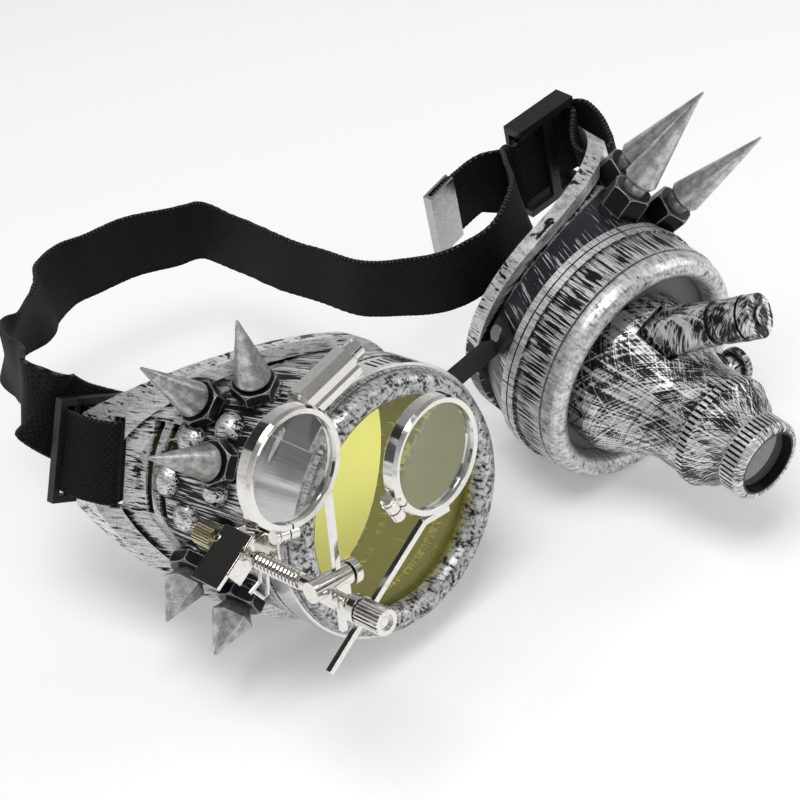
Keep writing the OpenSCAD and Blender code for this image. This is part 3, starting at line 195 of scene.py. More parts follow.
class Finish:
    """One material and short calls for the shader nodes that it is built from."""

    def __init__(self, name):
        self.material = bpy.data.materials.new(name)
        self.material.use_nodes = True
        self.tree = self.material.node_tree
        self.tree.nodes.clear()
        self.surface = self.node("ShaderNodeBsdfPrincipled")
        self.output = self.node("ShaderNodeOutputMaterial")
        self.tree.links.new(self.surface.outputs[0], self.output.inputs["Surface"])

    def node(self, kind, **inputs):
        made = self.tree.nodes.new(kind)
        for name, value in inputs.items():
            self.put(made, name.replace("_", " "), value)
        return made

    def put(self, node, name, value):
        """Sets an input by name or number, from a plain value or from another node's output."""
        socket = node.inputs[name]
        if isinstance(value, bpy.types.NodeSocket):
            self.tree.links.new(value, socket)
        else:
            socket.default_value = value

    def set(self, **inputs):
        for name, value in inputs.items():
            self.put(self.surface, name.replace("_", " "), value)
        return self

    def math(self, operation, a, b=0.0, clamp=False):
        made = self.tree.nodes.new("ShaderNodeMath")
        made.operation = operation
        made.use_clamp = clamp
        self.put(made, 0, a)
        self.put(made, 1, b)
        return made.outputs[0]

    def step(self, value, low, high, to_low=0.0, to_high=1.0):
        """Smooth step of value from low to high."""
        made = self.tree.nodes.new("ShaderNodeMapRange")
        made.interpolation_type = "SMOOTHSTEP"
        for number, given in enumerate((value, low, high, to_low, to_high)):
            self.put(made, number, given)
        return made.outputs[0]

    def blend(self, share, a, b):
        """Colour a where share is 0, colour b where it is 1."""
        made = self.tree.nodes.new("ShaderNodeMix")
        made.data_type = "RGBA"
        self.put(made, 0, share)
        self.put(made, 6, a)
        self.put(made, 7, b)
        return made.outputs[2]

    def level(self, matrix, scale=(1, 1, 1)):
        """Position in the frame of matrix, in mm, times scale."""
        place = self.tree.nodes.new("ShaderNodeMapping")
        place.vector_type = "TEXTURE"
        self.put(place, "Vector", self.node("ShaderNodeTexCoord").outputs["Object"])
        place.inputs["Location"].default_value = matrix.translation * MM
        place.inputs["Rotation"].default_value = matrix.to_euler("XYZ")
        place.inputs["Scale"].default_value = [MM / s for s in scale]
        return place.outputs[0]

    def noise(self, vector, scale=1.0, detail=2.0, rough=0.5):
        made = self.node("ShaderNodeTexNoise", Vector=vector, Scale=scale, Detail=detail, Roughness=rough)
        return made.outputs["Fac"]

    def parts(self, vector):
        """The three coordinates of a vector."""
        return self.node("ShaderNodeSeparateXYZ", Vector=vector).outputs

    def join(self, x, y, z):
        return self.node("ShaderNodeCombineXYZ", X=x, Y=y, Z=z).outputs[0]

    def radius(self, a, b):
        """Distance from the axis, from two coordinates across it."""
        squares = self.math("ADD", self.math("MULTIPLY", a, a), self.math("MULTIPLY", b, b))
        return self.math("SQRT", squares)

    def near(self, vector, point, radius):
        """1 at the point, falling to 0 at the radius."""
        gap = self.tree.nodes.new("ShaderNodeVectorMath")
        gap.operation = "DISTANCE"
        self.put(gap, 0, vector)
        self.put(gap, 1, point)
        return self.step(gap.outputs["Value"], radius, radius * 0.35)

    def crevice(self, reach):
        """1 on open faces, lower in corners and grooves."""
        hollow = self.tree.nodes.new("ShaderNodeAmbientOcclusion")
        hollow.samples = 4
        hollow.only_local = True
        hollow.inputs["Distance"].default_value = reach * MM
        return hollow.outputs["AO"]

    def mixed(self, share, first, second):
        """Shader that goes from the first to the second as share goes from 0 to 1."""
        made = self.node("ShaderNodeMixShader")
        for number, value in enumerate((share, first, second)):
            self.put(made, number, value)
        return made.outputs[0]

    def show(self, shader):
        """Takes this shader in place of the usual one."""
        self.tree.nodes.remove(self.surface)
        self.tree.links.new(shader, self.output.inputs["Surface"])
        return self.material

    def total(self, *terms):
        """Sum of values, each given alone or with its weight."""
        found = 0.0
        for term in terms:
            value, weight = term if isinstance(term, tuple) else (term, 1.0)
            found = self.math("ADD", found, self.math("MULTIPLY", value, weight))
        return found

    def edge(self, radius, low=0.01, high=0.12):
        """Edge mask, 1 on an edge and 0 on a flat face: worn paint, and on spikes and plastic a painted
        highlight.
        """
        bevel = self.tree.nodes.new("ShaderNodeBevel")
        bevel.samples = 4
        bevel.inputs["Radius"].default_value = radius * MM
        dot = self.tree.nodes.new("ShaderNodeVectorMath")
        dot.operation = "DOT_PRODUCT"
        self.put(dot, 0, bevel.outputs[0])
        self.put(dot, 1, self.tree.nodes.new("ShaderNodeNewGeometry").outputs["Normal"])
        return self.step(self.math("SUBTRACT", 1.0, dot.outputs["Value"]), low, high)

    def bump(self, height, depth, radius=0.0):
        """Relief of depth mm, with edges rounded to radius mm."""
        made = self.node("ShaderNodeBump", Height=height, Distance=depth * MM, Strength=1.0)
        if radius:
            bevel = self.tree.nodes.new("ShaderNodeBevel")
            bevel.samples = 4
            bevel.inputs["Radius"].default_value = radius * MM
            self.put(made, "Normal", bevel.outputs[0])
        self.put(self.surface, "Normal", made.outputs[0])
        return self


def paint(f, amount, tone_from, low=0.42, high=0.95, soft=0.03, under=BLACK_PAINT, relief=0.03):
    """Silver paint over black: amount over 0.5 is silver, and tone_from varies its grey."""
    silver = f.step(amount, 0.5 - soft, 0.5 + soft)
    tone = f.step(tone_from, 0.36, 0.64, low, high)
    grey = f.node("ShaderNodeCombineColor", Red=tone, Green=tone, Blue=f.math("MULTIPLY", tone, 1.012))
    f.set(
        Base_Color=f.blend(silver, under, grey.outputs[0]),
        Metallic=f.math("MULTIPLY", silver, 0.7),
        Roughness=f.step(silver, 0, 1, 0.3, 0.4),
        Specular_IOR_Level=0.25,
    )
    f.bump(f.math("ADD", silver, f.math("MULTIPLY", tone_from, 0.5)), relief, 0.16)
    return f.material


def strokes(f, matrix, across, along):
    """Noise drawn out along the lens axis."""
    return f.noise(f.level(matrix, (across, along, across)), detail=2, rough=0.55)


def cup_finish(name, matrix, side, wall_cover, wall_under):
    """Dry-brushed cup: fringed barrel, bright collars and rim, streaked wall, satin inside."""
    f = Finish(name)
    place = f.level(matrix)
    a, y, b = f.parts(place)
    temple = f.math("MULTIPLY", a, side)
    face = f.radius(f.math("SUBTRACT", temple, FACE_A), f.math("SUBTRACT", y, FACE_Y))
    flange = f.step(face, FACE_R + 2.3, FACE_R + 1.6)
    rim = f.math("MULTIPLY", flange, f.step(face, FACE_R + 0.35, FACE_R + 0.8))
    fringe = f.step(f.math("ABSOLUTE", f.math("SUBTRACT", y, BARREL_MID)), 0.6, 3.9)
    barrel = f.step(y, COLLAR_Y + 0.1, COLLAR_Y - 0.1)
    collar = f.math("SUBTRACT", f.step(y, COLLAR_Y, COLLAR_Y + 0.3), f.step(y, CUP_Y - 0.2, CUP_Y + 0.3))
    wall = f.math("MULTIPLY", f.step(y, CUP_Y, CUP_Y + 0.4), f.math("SUBTRACT", 1.0, flange))
    bristles = f.math("MULTIPLY", wall, f.step(y, CUP_Y + 7, CUP_Y))
    past_collar = f.math("SUBTRACT", y, CUP_Y)
    flare = f.math("MAXIMUM", 0.0, f.math("MULTIPLY", past_collar, 1 / (FLARE_Y - CUP_Y)))
    shifted = f.math("SUBTRACT", a, f.math("MULTIPLY", flare, FLARE_SHIFT * side))
    narrow_a = f.math("SUBTRACT", 1.0, f.math("MULTIPLY", flare, 1 - FLARE_A / CUP_R))
    narrow_b = f.math("SUBTRACT", 1.0, f.math("MULTIPLY", flare, 1 - FLARE_B / CUP_R))
    round_a = f.math("DIVIDE", shifted, narrow_a)
    round_b = f.math("DIVIDE", b, narrow_b)
    along_face = f.math("MULTIPLY", a, 0.09)
    across_face = f.math("MULTIPLY", b, 1.5)
    streaks = []
    for across, along in STREAKS:
        on_wall = f.join(f.math("MULTIPLY", round_a, across), f.math("MULTIPLY", y, along),
                         f.math("MULTIPLY", round_b, across))
        on_face = f.join(f.math("MULTIPLY", along_face, across), f.math("MULTIPLY", y, 0.3),
                         f.math("MULTIPLY", across_face, across * 0.6))
        drawn = f.tree.nodes.new("ShaderNodeMix")
        drawn.data_type = "VECTOR"
        for number, value in ((0, flange), (4, on_wall), (5, on_face)):
            f.put(drawn, number, value)
        streaks.append(f.noise(drawn.outputs[1], detail=2, rough=0.55))
    long, fine = streaks
    speck = f.noise(place, 2.3, 2, 0.6)
    patch = f.noise(place, 0.10, 2, 0.5)
    bumps = 0.0
    for depth, angle in BUMPS:
        bumps = f.math("MAXIMUM", bumps, f.near(place, wall_point(depth, angle, side), BUMP_R))
    slots = f.math("MULTIPLY", f.step(y, 31, 36), f.step(temple, -24, -30))
    open_face = f.crevice(1.8)
    amount = f.total(
        (long, 0.95), (fine, 0.55), (patch, 0.30), CUP_COVER,
        (barrel, -0.08), (f.math("MULTIPLY", barrel, fringe), 0.13), (collar, 0.13),
        (flange, 0.05), (rim, 0.08), (wall, wall_cover), (bristles, 0.07), (bumps, 0.28),
        (f.math("MULTIPLY", slots, wall), 0.05),
        (f.edge(0.5), 0.10), (f.math("SUBTRACT", open_face, 0.9), 0.55),
    )
    under_face = f.step(f.radius(round_a, round_b), CUP_R - 0.45, CUP_R - 1.0)
    behind = f.math("MULTIPLY", under_face, f.step(y, CUP_Y - 0.1, CUP_Y + 0.3))
    bore = f.step(f.radius(a, b), BORE_R, BORE_R - 0.5)
    amount = f.total(amount, (f.math("MAXIMUM", behind, bore), -0.30))
    under = f.blend(wall, BLACK_PAINT, wall_under)
    tone = f.total((fine, 0.6), (speck, 0.4), (flange, 0.05), (collar, 0.05), (bumps, 0.05))
    return paint(f, amount, tone, 0.32, 0.86, 0.035, under)


def ring_finish(name, matrix, cover, low, high):
    """Front ring: smooth silver, worn to black specks at its edges."""
    f = Finish(name)
    place = f.level(matrix)
    mottle = f.noise(place, 0.55, 3, 0.62)
    speck = f.noise(place, 1.7, 2, 0.6)
    drag = strokes(f, matrix, 1.3, 0.3)
    amount = f.total((mottle, 0.35), (speck, 0.25), (drag, 0.35), cover, (f.crevice(1.2), 0.35))
    return paint(f, amount, f.total((mottle, 0.5), (drag, 0.5)), low, high, 0.05, relief=0.02)


def scope_finish(name, cover, ribs=None, mouth=0.0):
    """Cross-hatched scratches of silver over black.

    ribs are an outer radius and a depth range with dark grooves. Within the mouth's radius all is black.
    """
    f = Finish(name)
    place = f.level(SCOPE)
    depth = f.parts(place)[1]
    sets = []
    for twist in SCRATCH_TWISTS:
        angle = f.math("MULTIPLY", depth, twist)
        turned = f.node("ShaderNodeVectorRotate", Vector=place, Axis=(0, 1, 0), Angle=angle)
        x, y, z = f.parts(turned.outputs[0])
        away = f.radius(x, z)
        round_x, round_z = (f.math("MULTIPLY", f.math("DIVIDE", v, away), SCRATCH_TURN) for v in (x, z))
        drawn = f.join(round_x, f.math("MULTIPLY", f.math("SUBTRACT", away, y), SCRATCH_RUN), round_z)
        sets.append(f.noise(drawn, detail=2, rough=0.55))
    bright = f.math("MAXIMUM", sets[0], f.math("MAXIMUM", sets[1], sets[2]))
    dark = f.math("MINIMUM", sets[3], f.math("MINIMUM", sets[1], sets[0]))
    patch = f.noise(place, 0.20, 3, 0.55)
    amount = f.total((bright, 0.75), (dark, 0.55), (patch, 0.42), cover, (f.edge(0.4), 0.09),
                     (f.math("SUBTRACT", f.crevice(1.4), 0.9), 0.5))
    if ribs:
        x, y, z = f.parts(place)
        out, low_y, high_y = ribs
        behind_front = f.step(y, low_y - 0.1, low_y + 0.1)
        band = f.math("MULTIPLY", behind_front, f.step(y, high_y + 0.1, high_y - 0.1))
        reach = f.radius(x, z)
        tops = f.step(reach, out - 0.16, out - 0.05)
        amount = f.total(amount, (f.math("MULTIPLY", band, f.math("SUBTRACT", tops, 0.45)), 0.55),
                         (f.step(reach, mouth, mouth - 0.3), -0.5))
    return paint(f, amount, f.total((sets[0], 0.5), (sets[3], 0.5)), 0.36, 0.90, 0.055)


def spike_metal():
    """Cast spikes in dull silver, with pits, rubbed patches and a painted highlight along their edges."""
    f = Finish("spike_metal")
    cloud = f.noise(f.level(LEFT), 0.45, 4, 0.62)
    pits = f.noise(f.level(LEFT), 2.2, 2, 0.6)
    scratches = f.noise(f.level(LEFT @ Matrix.Rotation(0.7, 4, "Z"), (3.0, 0.35, 3.0)), detail=2)
    marks = f.math("ADD", f.math("MULTIPLY", pits, 0.7), f.math("MULTIPLY", scratches, 0.3))
    dark = f.step(marks, 0.36, 0.47)
    tone = f.step(cloud, 0.36, 0.64, 0.38, 0.66)
    tone = f.math("MULTIPLY", tone, f.math("ADD", f.math("MULTIPLY", dark, 0.35), 0.65))
    # Every edge is made 0.16 lighter in colour: a painted highlight.
    tone = f.math("ADD", tone, f.math("MULTIPLY", f.edge(0.3), 0.16))
    light = f.node("ShaderNodeCombineColor", Red=tone, Green=tone, Blue=f.math("MULTIPLY", tone, 1.01))
    f.set(Base_Color=light.outputs[0], Metallic=0.88, Roughness=f.step(cloud, 0.3, 0.7, 0.42, 0.3))
    f.bump(f.math("ADD", pits, f.math("MULTIPLY", scratches, 0.6)), 0.07, 0.15)
    return f.material


def rubbed_black(name, wear=0.55):
    """Black paint rubbed through to silver at the edges."""
    f = Finish(name)
    rub = f.noise(f.level(LEFT, (1.4, 0.5, 1.4)), detail=3, rough=0.65)
    edges = f.edge(0.5, 0.01, 0.1)
    total = f.math("ADD", f.math("MULTIPLY", edges, wear), f.math("MULTIPLY", rub, 0.5))
    silver = f.step(total, 0.35, 0.44)
    f.set(
        Base_Color=f.blend(silver, BLACK_PAINT, (0.58, 0.58, 0.6, 1)),
        Metallic=f.math("MULTIPLY", silver, 0.8),
        Roughness=f.step(silver, 0, 1, 0.28, 0.36),
        Specular_IOR_Level=0.25,
    )
    return f.bump(silver, 0.03, 0.2).material


def polished(name, colour, rough, matrix=LEFT, grain=(0.8, 0.1, 0.8), depth=0.006, spread=0.12):
    """Plated or bright metal with fine wear in its roughness."""
    f = Finish(name)
    smear = f.noise(f.level(matrix, grain), detail=4, rough=0.65)
    spots = f.noise(f.level(matrix), 1.1, 3, 0.7)
    f.set(
        Base_Color=f.blend(f.step(spots, 0.5, 0.75), colour, [c * 0.82 for c in colour[:3]] + [1]),
        Metallic=1.0,
        Roughness=f.step(smear, 0.35, 0.75, rough, rough + spread),
    )
    return f.bump(smear, depth, 0.14).material


def plain(name, colour, rough, matrix=LEFT, depth=0.02, painted_edge_highlight=0.0, grain=2.0):
    """Plastic or rubber: one colour with a fine grain, fingerprints in the gloss and a painted highlight
    that pales the edges.
    """
    f = Finish(name)
    fine = f.noise(f.level(matrix), grain, 3, 0.6)
    smear = f.noise(f.level(matrix), 0.16, 3, 0.6)
    pale = [min(1.0, c * 1.9 + 0.012) for c in colour[:3]] + [1]
    # Paler edges are a painted highlight; the paler flecks of the fine grain are the plastic's own.
    share = f.math("MULTIPLY", f.edge(0.35), painted_edge_highlight)
    share = f.math("ADD", share, f.step(fine, 0.55, 0.85, 0.0, 0.25), clamp=True)
    f.set(Base_Color=f.blend(share, colour, pale), Roughness=f.step(smear, 0.3, 0.7, rough, rough + 0.14))
    f.set(Specular_IOR_Level=0.3)
    return f.bump(fine, depth, 0.25).material


def tinted(name, colour, haze=0.0, gloss=0.02, strength=1.0, glow=(0.7, 0.7, 0.7, 1)):
    """Flat lens: tint in straight-through light, mirror at its surface, and faint dust in the gloss."""
    f = Finish(name)
    dust = f.noise(f.level(LEFT), 0.9, 4, 0.7)
    clear = f.node("ShaderNodeBsdfTransparent", Color=colour)
    mirror = f.node("ShaderNodeBsdfGlossy", Roughness=f.step(dust, 0.45, 0.8, gloss, gloss + 0.08))
    veil = f.node("ShaderNodeBsdfDiffuse", Color=glow)
    front = f.math("SUBTRACT", 1.0, f.tree.nodes.new("ShaderNodeNewGeometry").outputs["Backfacing"])
    fresnel = f.math("MULTIPLY", f.node("ShaderNodeFresnel", IOR=1.5).outputs[0], front)
    lit = f.mixed(f.math("MULTIPLY", fresnel, strength, clamp=True), clear.outputs[0], mirror.outputs[0])
    return f.show(f.mixed(f.step(dust, 0.5, 0.9, haze, haze + 0.03), lit, veil.outputs[0]))


def magnifier():
    """Solid clear lens that bends light, and lets light through to what is behind it."""
    f = Finish("loupe_glass")
    smear = f.noise(f.level(LEFT, (0.5, 0.5, 0.12)), detail=3)
    glass = f.node("ShaderNodeBsdfGlass", Color=(0.97, 0.985, 0.98, 1), IOR=1.5)
    f.put(glass, "Roughness", f.step(smear, 0.55, 0.85, 0.0, 0.05))
    clear = f.node("ShaderNodeBsdfTransparent", Color=(0.90, 0.93, 0.92, 1))
    shadow = f.node("ShaderNodeLightPath").outputs["Is Shadow Ray"]
    return f.show(f.mixed(shadow, glass.outputs[0], clear.outputs[0]))


def webbing():
    """Black elastic: rows of short ribs, pale beads along both edges. UV is in mm along and across."""
    f = Finish("strap_webbing")
    uv = f.tree.nodes.new("ShaderNodeUVMap")
    uv.uv_map = "webbing"
    split = f.node("ShaderNodeSeparateXYZ", Vector=uv.outputs[0])
    along, across = split.outputs[0], split.outputs[1]
    row = f.math("MULTIPLY", across, 1 / 0.82)
    shift = f.math("MULTIPLY", f.math("FLOOR", row), 0.5)
    dash = f.math("FRACT", f.math("ADD", f.math("MULTIPLY", along, 1 / 1.25), shift))
    rib = f.step(f.math("ABSOLUTE", f.math("SUBTRACT", dash, 0.5)), 0.44, 0.30)
    lane = f.step(f.math("ABSOLUTE", f.math("SUBTRACT", f.math("FRACT", row), 0.5)), 0.46, 0.26)
    weave = f.math("MULTIPLY", rib, lane)
    fuzz = f.noise(f.node("ShaderNodeTexCoord").outputs["Object"], 2600, 2, 0.7)
    bead = f.step(f.math("ABSOLUTE", across), STRAP_W / 2 - 0.55, STRAP_W / 2 - 0.1)
    wave = f.math("SINE", f.math("MULTIPLY", along, math.pi / BEAD_STEP))
    dot = f.step(f.math("ABSOLUTE", wave), 0.55, 0.95)
    pale = f.math("MULTIPLY", bead, f.math("MULTIPLY", dot, f.step(fuzz, 0.35, 0.6)))
    body = f.blend(weave, (0.0018, 0.0018, 0.002, 1), (0.0085, 0.0085, 0.0095, 1))
    f.set(
        Base_Color=f.blend(f.math("MULTIPLY", pale, 0.5), body, (0.16, 0.16, 0.165, 1)),
        Roughness=0.7,
        Specular_IOR_Level=0.14,
        Sheen_Weight=0.03,
        Sheen_Roughness=0.4,
    )
    return f.bump(f.math("ADD", weave, f.math("MULTIPLY", fuzz, 0.25)), 0.16).material


def floor_finish():
    """White sweep, a little lighter to the camera and in reflections than its lit colour."""
    f = Finish("floor_white")
    patch = f.noise(f.node("ShaderNodeTexCoord").outputs["Object"], 6, 2)
    x, y, z = f.parts(f.node("ShaderNodeTexCoord").outputs["Object"])
    far = f.step(f.radius(x, y), 0.35, 1.3)
    ray = f.node("ShaderNodeLightPath").outputs
    through = f.math("MAXIMUM", ray["Is Glossy Ray"], ray["Is Transmission Ray"])
    seen = f.math("MAXIMUM", ray["Is Camera Ray"], through)
    seen_far = f.math("MULTIPLY", ray["Is Camera Ray"], far)
    f.set(
        Base_Color=f.blend(patch, (0.90, 0.90, 0.905, 1), (0.92, 0.92, 0.925, 1)),
        Roughness=0.6,
        Specular_IOR_Level=0.2,
        Emission_Color=(1, 1, 1, 1),
        Emission_Strength=f.total((seen, FLOOR_LIFT), (seen_far, FAR_LIFT)),
    )
    return f.material


def dress(names, material):
    """Gives the CAD nodes their finish and smooth shading across shallow edges."""
    for name in names:
        mesh = NODES[name].data
        mesh.materials.clear()
        mesh.materials.append(material)
        smooth(mesh)


def soften(names, width):
    """Rounds the edges of moulded and pressed pieces; the CAD mesh itself stays."""
    for name in names:
        rounded = NODES[name].modifiers.new("rounded_edges", "BEVEL")
        rounded.width = width * MM
        rounded.segments = 3
        rounded.limit_method = "ANGLE"
        rounded.angle_limit = math.radians(40)


def dress_all():
    left = cup_finish("left_cup_finish", LEFT, 1, LEFT_WALL_COVER, BLACK_PAINT)
    right = cup_finish("right_cup_finish", RIGHT, -1, RIGHT_WALL_COVER, SLATE_PAINT)
    dress(["left_cup_shell"], left)
    dress(["right_cup_shell"], right)
    dress(["left_front_ring"], ring_finish("left_ring_finish", LEFT, LEFT_RING_COVER, 0.24, 0.66))
    dress(["right_front_ring"], ring_finish("right_ring_finish", RIGHT, RIGHT_RING_COVER, 0.40, 0.82))
    dress(["telescope_body", "lever_barrel"], scope_finish("scope_finish", SCOPE_COVER))
    dress(["focus_barrel"], scope_finish("focus_finish", SCOPE_COVER, MILLED_RIBS))
    dress(["eyepiece_cap"], scope_finish("cap_finish", CAP_COVER, CAP_RIBS, MOUTH_R))
    dress(["lever_knob", "side_knob"], scope_finish("knob_finish", KNOB_COVER))
    dress(["left_upper_spikes", "left_lower_spikes", "right_spikes"], spike_metal())
    dress(["left_spike_nuts", "right_spike_nuts"], rubbed_black("nut_finish"))
    dress(["cover_disc"], plain("disc_finish", (0.15, 0.155, 0.165, 1), 0.22, RIGHT))
    dress(["clamp_band"], polished("band_steel", (0.74, 0.73, 0.72, 1), 0.12, LEFT, (4, 0.05, 4), 0.01))
    chrome = polished("nickel_plate", (0.80, 0.78, 0.74, 1), 0.05)
    dress(
        ["clip_bracket", "clip_legs", "loupe_rod", "rod_spring", "rod_end_nut",
         "inner_block", "inner_block_screw", "inner_arm", "inner_loupe_rim", "inner_rim_screw",
         "outer_block", "outer_arm", "outer_loupe_rim", "outer_rim_screw", "clamp_screw", "clamp_housing"],
        chrome,
    )
    dress(["clip_thumb_nut"], polished("thumb_nut_brass", (0.62, 0.54, 0.36, 1), 0.18))
    dark_steel = polished("dark_steel", (0.30, 0.30, 0.31, 1), 0.3)
    dress(
        ["left_spike_screws", "right_spike_screws", "lever_pin", "left_nose_rivet", "right_nose_rivet"],
        dark_steel,
    )
    dress(["strap_end_clip"], polished("crimp_steel", (0.52, 0.52, 0.53, 1), 0.24))
    dress(["left_gasket", "right_gasket"], plain("gasket_rubber", BLACK_RUBBER, 0.6))
    dress(["nose_strip"], plain("nose_rubber", (0.014, 0.014, 0.015, 1), 0.42))
    # The buckle and slider get paler edges as a painted highlight.
    dress(["left_buckle", "strap_slider"], plain("black_plastic", BLACK_RUBBER, 0.24, painted_edge_highlight=0.5))
    soften(["left_buckle", "strap_slider"], 0.45)
    soften(["strap_end_clip", "clip_bracket"], 0.2)
    dress(["left_lens"], tinted("yellow_lens", YELLOW_TINT, 0.11, glow=YELLOW_GLOW))
    dress(["inner_loupe_lens", "outer_loupe_lens"], magnifier())
    dress(["objective_lens"], tinted("objective_glass", (0.6, 0.62, 0.64, 1)))
    dress(["eyepiece_lens"], tinted("eyepiece_glass", (0.50, 0.52, 0.56, 1), 0.10, 0.04, 2.2))


def spline(points, steps, closed=False):
    """Smooth curve through the points, with steps pieces between two of them."""
    n = len(points)
    found = []
    for i in range(n if closed else n - 1):
        if closed:
            a, b, c, d = (points[(i + k) % n] for k in (-1, 0, 1, 2))
        else:
            a, b, c, d = points[max(i - 1, 0)], points[i], points[i + 1], points[min(i + 2, n - 1)]
        for k in range(steps):
            u = k / steps
            found.append(0.5 * (2 * b + (c - a) * u + (2 * a - 5 * b + 4 * c - d) * u ** 2
                                + (3 * b - a - 3 * c + d) * u ** 3))
    return found if closed else found + [points[-1]]


def length_of(points, closed=False):
    legs = [(b - a).length for a, b in zip(points, points[1:])]
    return sum(legs) + ((points[0] - points[-1]).length if closed else 0)


def section(across_points=15):
    """Half outline of the webbing: offsets across and through, flat faces and rounded edges."""
    half, thick, edge = STRAP_W / 2, STRAP_T / 2, 0.75
    flat = [(half - edge) * (1 - 2 * k / (across_points - 1)) for k in range(across_points)]
    cap = [math.radians(a) for a in (60, 30, 0, -30, -60)]
    top = [(x, thick) for x in reversed(flat)]
    right = [(half - edge + edge * math.cos(a), thick * math.sin(a)) for a in cap]
    bottom = [(x, -thick) for x in flat]
    left = [(-(half - edge) - edge * math.cos(a), -thick * math.sin(a)) for a in cap]
    return top + right + bottom + left


def make_webbing(name, points, widths, material, closed=False):
    """Mesh of the webbing along points, its width along widths, with a bead at each step of its edges."""
    fine = max(4, int(length_of(points, closed) / len(points) / STRAP_STEP))
    path = spline(points, fine, closed)
    dirs = spline(widths, fine, closed)
    outline = section()
    verts, uvs, faces = [], [], []
    n, m, run = len(path), len(outline), 0.0
    for i in range(n):
        before = path[i - 1] if closed or i else path[0]
        after = path[(i + 1) % n] if closed or i < n - 1 else path[-1]
        a = (after - before).normalized()
        h = (dirs[i] - a * dirs[i].dot(a)).normalized()
        o = a.cross(h)
        bead = abs(math.sin(math.pi * run / BEAD_STEP))
        for x, t in outline:
            rim = max(0.0, (abs(x) - STRAP_W / 2 + 0.75) / 0.75)
            x_out = x + math.copysign(0.22 * rim * (bead - 0.5), x)
            t_out = t * (1 + 0.45 * math.sin(math.pi * min(1, rim)) * bead)
            verts.append((path[i] + h * x_out + o * t_out) * MM)
            uvs.append((run, x))
        run += (after - path[i]).length if i < n - 1 or closed else 0
    rings = n if closed else n - 1
    for i in range(rings):
        here, there = i * m, (i + 1) % n * m
        for k in range(m):
            faces.append((here + k, here + (k + 1) % m, there + (k + 1) % m, there + k))
    if not closed:
        faces.append(tuple(reversed(range(m))))
        faces.append(tuple((n - 1) * m + k for k in range(m)))
    mesh = bpy.data.meshes.new(name)
    mesh.from_pydata(verts, [], faces)
    mesh.materials.append(material)
    layer = mesh.uv_layers.new(name="webbing")
    for loop in mesh.loops:
        layer.data[loop.index].uv = uvs[loop.vertex_index]
    mesh.shade_smooth()
    mesh.validate()
    return placed(name, mesh), run


def from_left(p):
    return LEFT @ Vector(p)


def from_right(p):
    return RIGHT @ MIRROR @ Vector(p)


def in_assembly(p):
    return Vector(p) - ORIGIN_AT


# Route of the head strap, as in the CAD: fold at the left buckle, round the back, through the slider,
# through the right flange slot and back through the slider to the clipped end
FOLD = [(-34, 56, 2.2), (-30.5, 55.9, 2.2), (-27.9, 56, 2.4), (-26.4, 58.3, 2.9), (-27.9, 60.8, 3.6),
        (-33, 62.4, 5), (-38, 63, 6.6), (-42.5, 63.4, 9)]
BACK = [(-77, 64.3, 51.5), (-77.4, 69, 51.6), (-72, 80.5, 46.8), (-64, 100.4, 41),
        (-49, 109.5, 39.7), (-42, 116.5, 38.8), (-34, 120.7, 37.8), (-26, 121.4, 36.9), (-14, 121.6, 35.9),
        (-3, 118.3, 34.8), (4, 114.8, 34.8), (5.3, 101.4, 35.6), (5.2, 84.2, 37.6), (6.8, 71, 38.5),
        (7.8, 57.3, 40.6), (11.9, 47.2, 42.6), (17, 38, 45.7), (23, 33, 48.7), (30.8, 31.7, 51.4),
        (43.5, 38.2, 52.6), (52.5, 48.6, 50.4)]
BACK_WIDTH = [(0.16, -0.04, 0.98), (0.09, -0.24, 0.96), (-0.1, -0.45, 0.89), (-0.25, -0.6, 0.76),
              (-0.2, -0.2, 0.96), (-0.2, -0.05, 0.98), (-0.18, -0.03, 0.98), (-0.13, -0.06, 0.99),
              (-0.14, -0.04, 0.99), (-0.1, -0.07, 0.99), (0, -0.2, 0.98), (-0.07, -0.25, 0.96),
              (-0.08, -0.28, 0.96), (-0.12, -0.3, 0.95), (-0.12, -0.27, 0.95), (-0.11, -0.28, 0.96),
              (-0.1, -0.2, 0.97), (-0.2, -0.1, 0.97), (-0.3, -0.13, 0.94), (-0.4, -0.14, 0.9),
              (-0.35, -0.12, 0.93)]
LOOP = [(-40.8, 62.9, 1.3), (-42.2, 61.2, 1.7), (-40.7, 59.2, 2), (-37.6, 56, 2), (-34.9, 52.3, 2),
        (-34.3, 49.2, 2), (-35.3, 47.3, 2), (-37.7, 45.9, 2), (-39.6, 44.8, 2), (-41.4, 45.8, 2),
        (-43, 48.6, 2), (-44.6, 52.5, 2), (-45.7, 57, 1.8), (-45.9, 60.8, 1.4), (-44.4, 63.2, 0.8)]
TAIL = [(53, 61.6, 46.6), (46, 61.9, 45.2), (41, 61.2, 44.2), (36, 60.5, 43.2)]
TAIL_WIDTH = (-0.25, -0.1, 0.95)
SLIDER_AT = Vector((73, 59, 47)) - ORIGIN_AT
SLIDER_LEAN = -7
LAYER = STRAP_T / 2 + 0.125
TAB = [(-35.6, 47.1), (-37.7, 45.9), (-39.7, 44.8), (-41.8, 47), (-43.2, 51.5), (-43.4, 56), (-43, 59.2),
       (-41.3, 60.9), (-39.3, 59.9), (-37.2, 57), (-34.9, 52.5), (-34.4, 49.2)]
SLOT_C = 2


def in_slider(x, y):
    return SLIDER_AT + Matrix.Rotation(math.radians(SLIDER_LEAN), 3, "Y") @ Vector((x, y, 0))


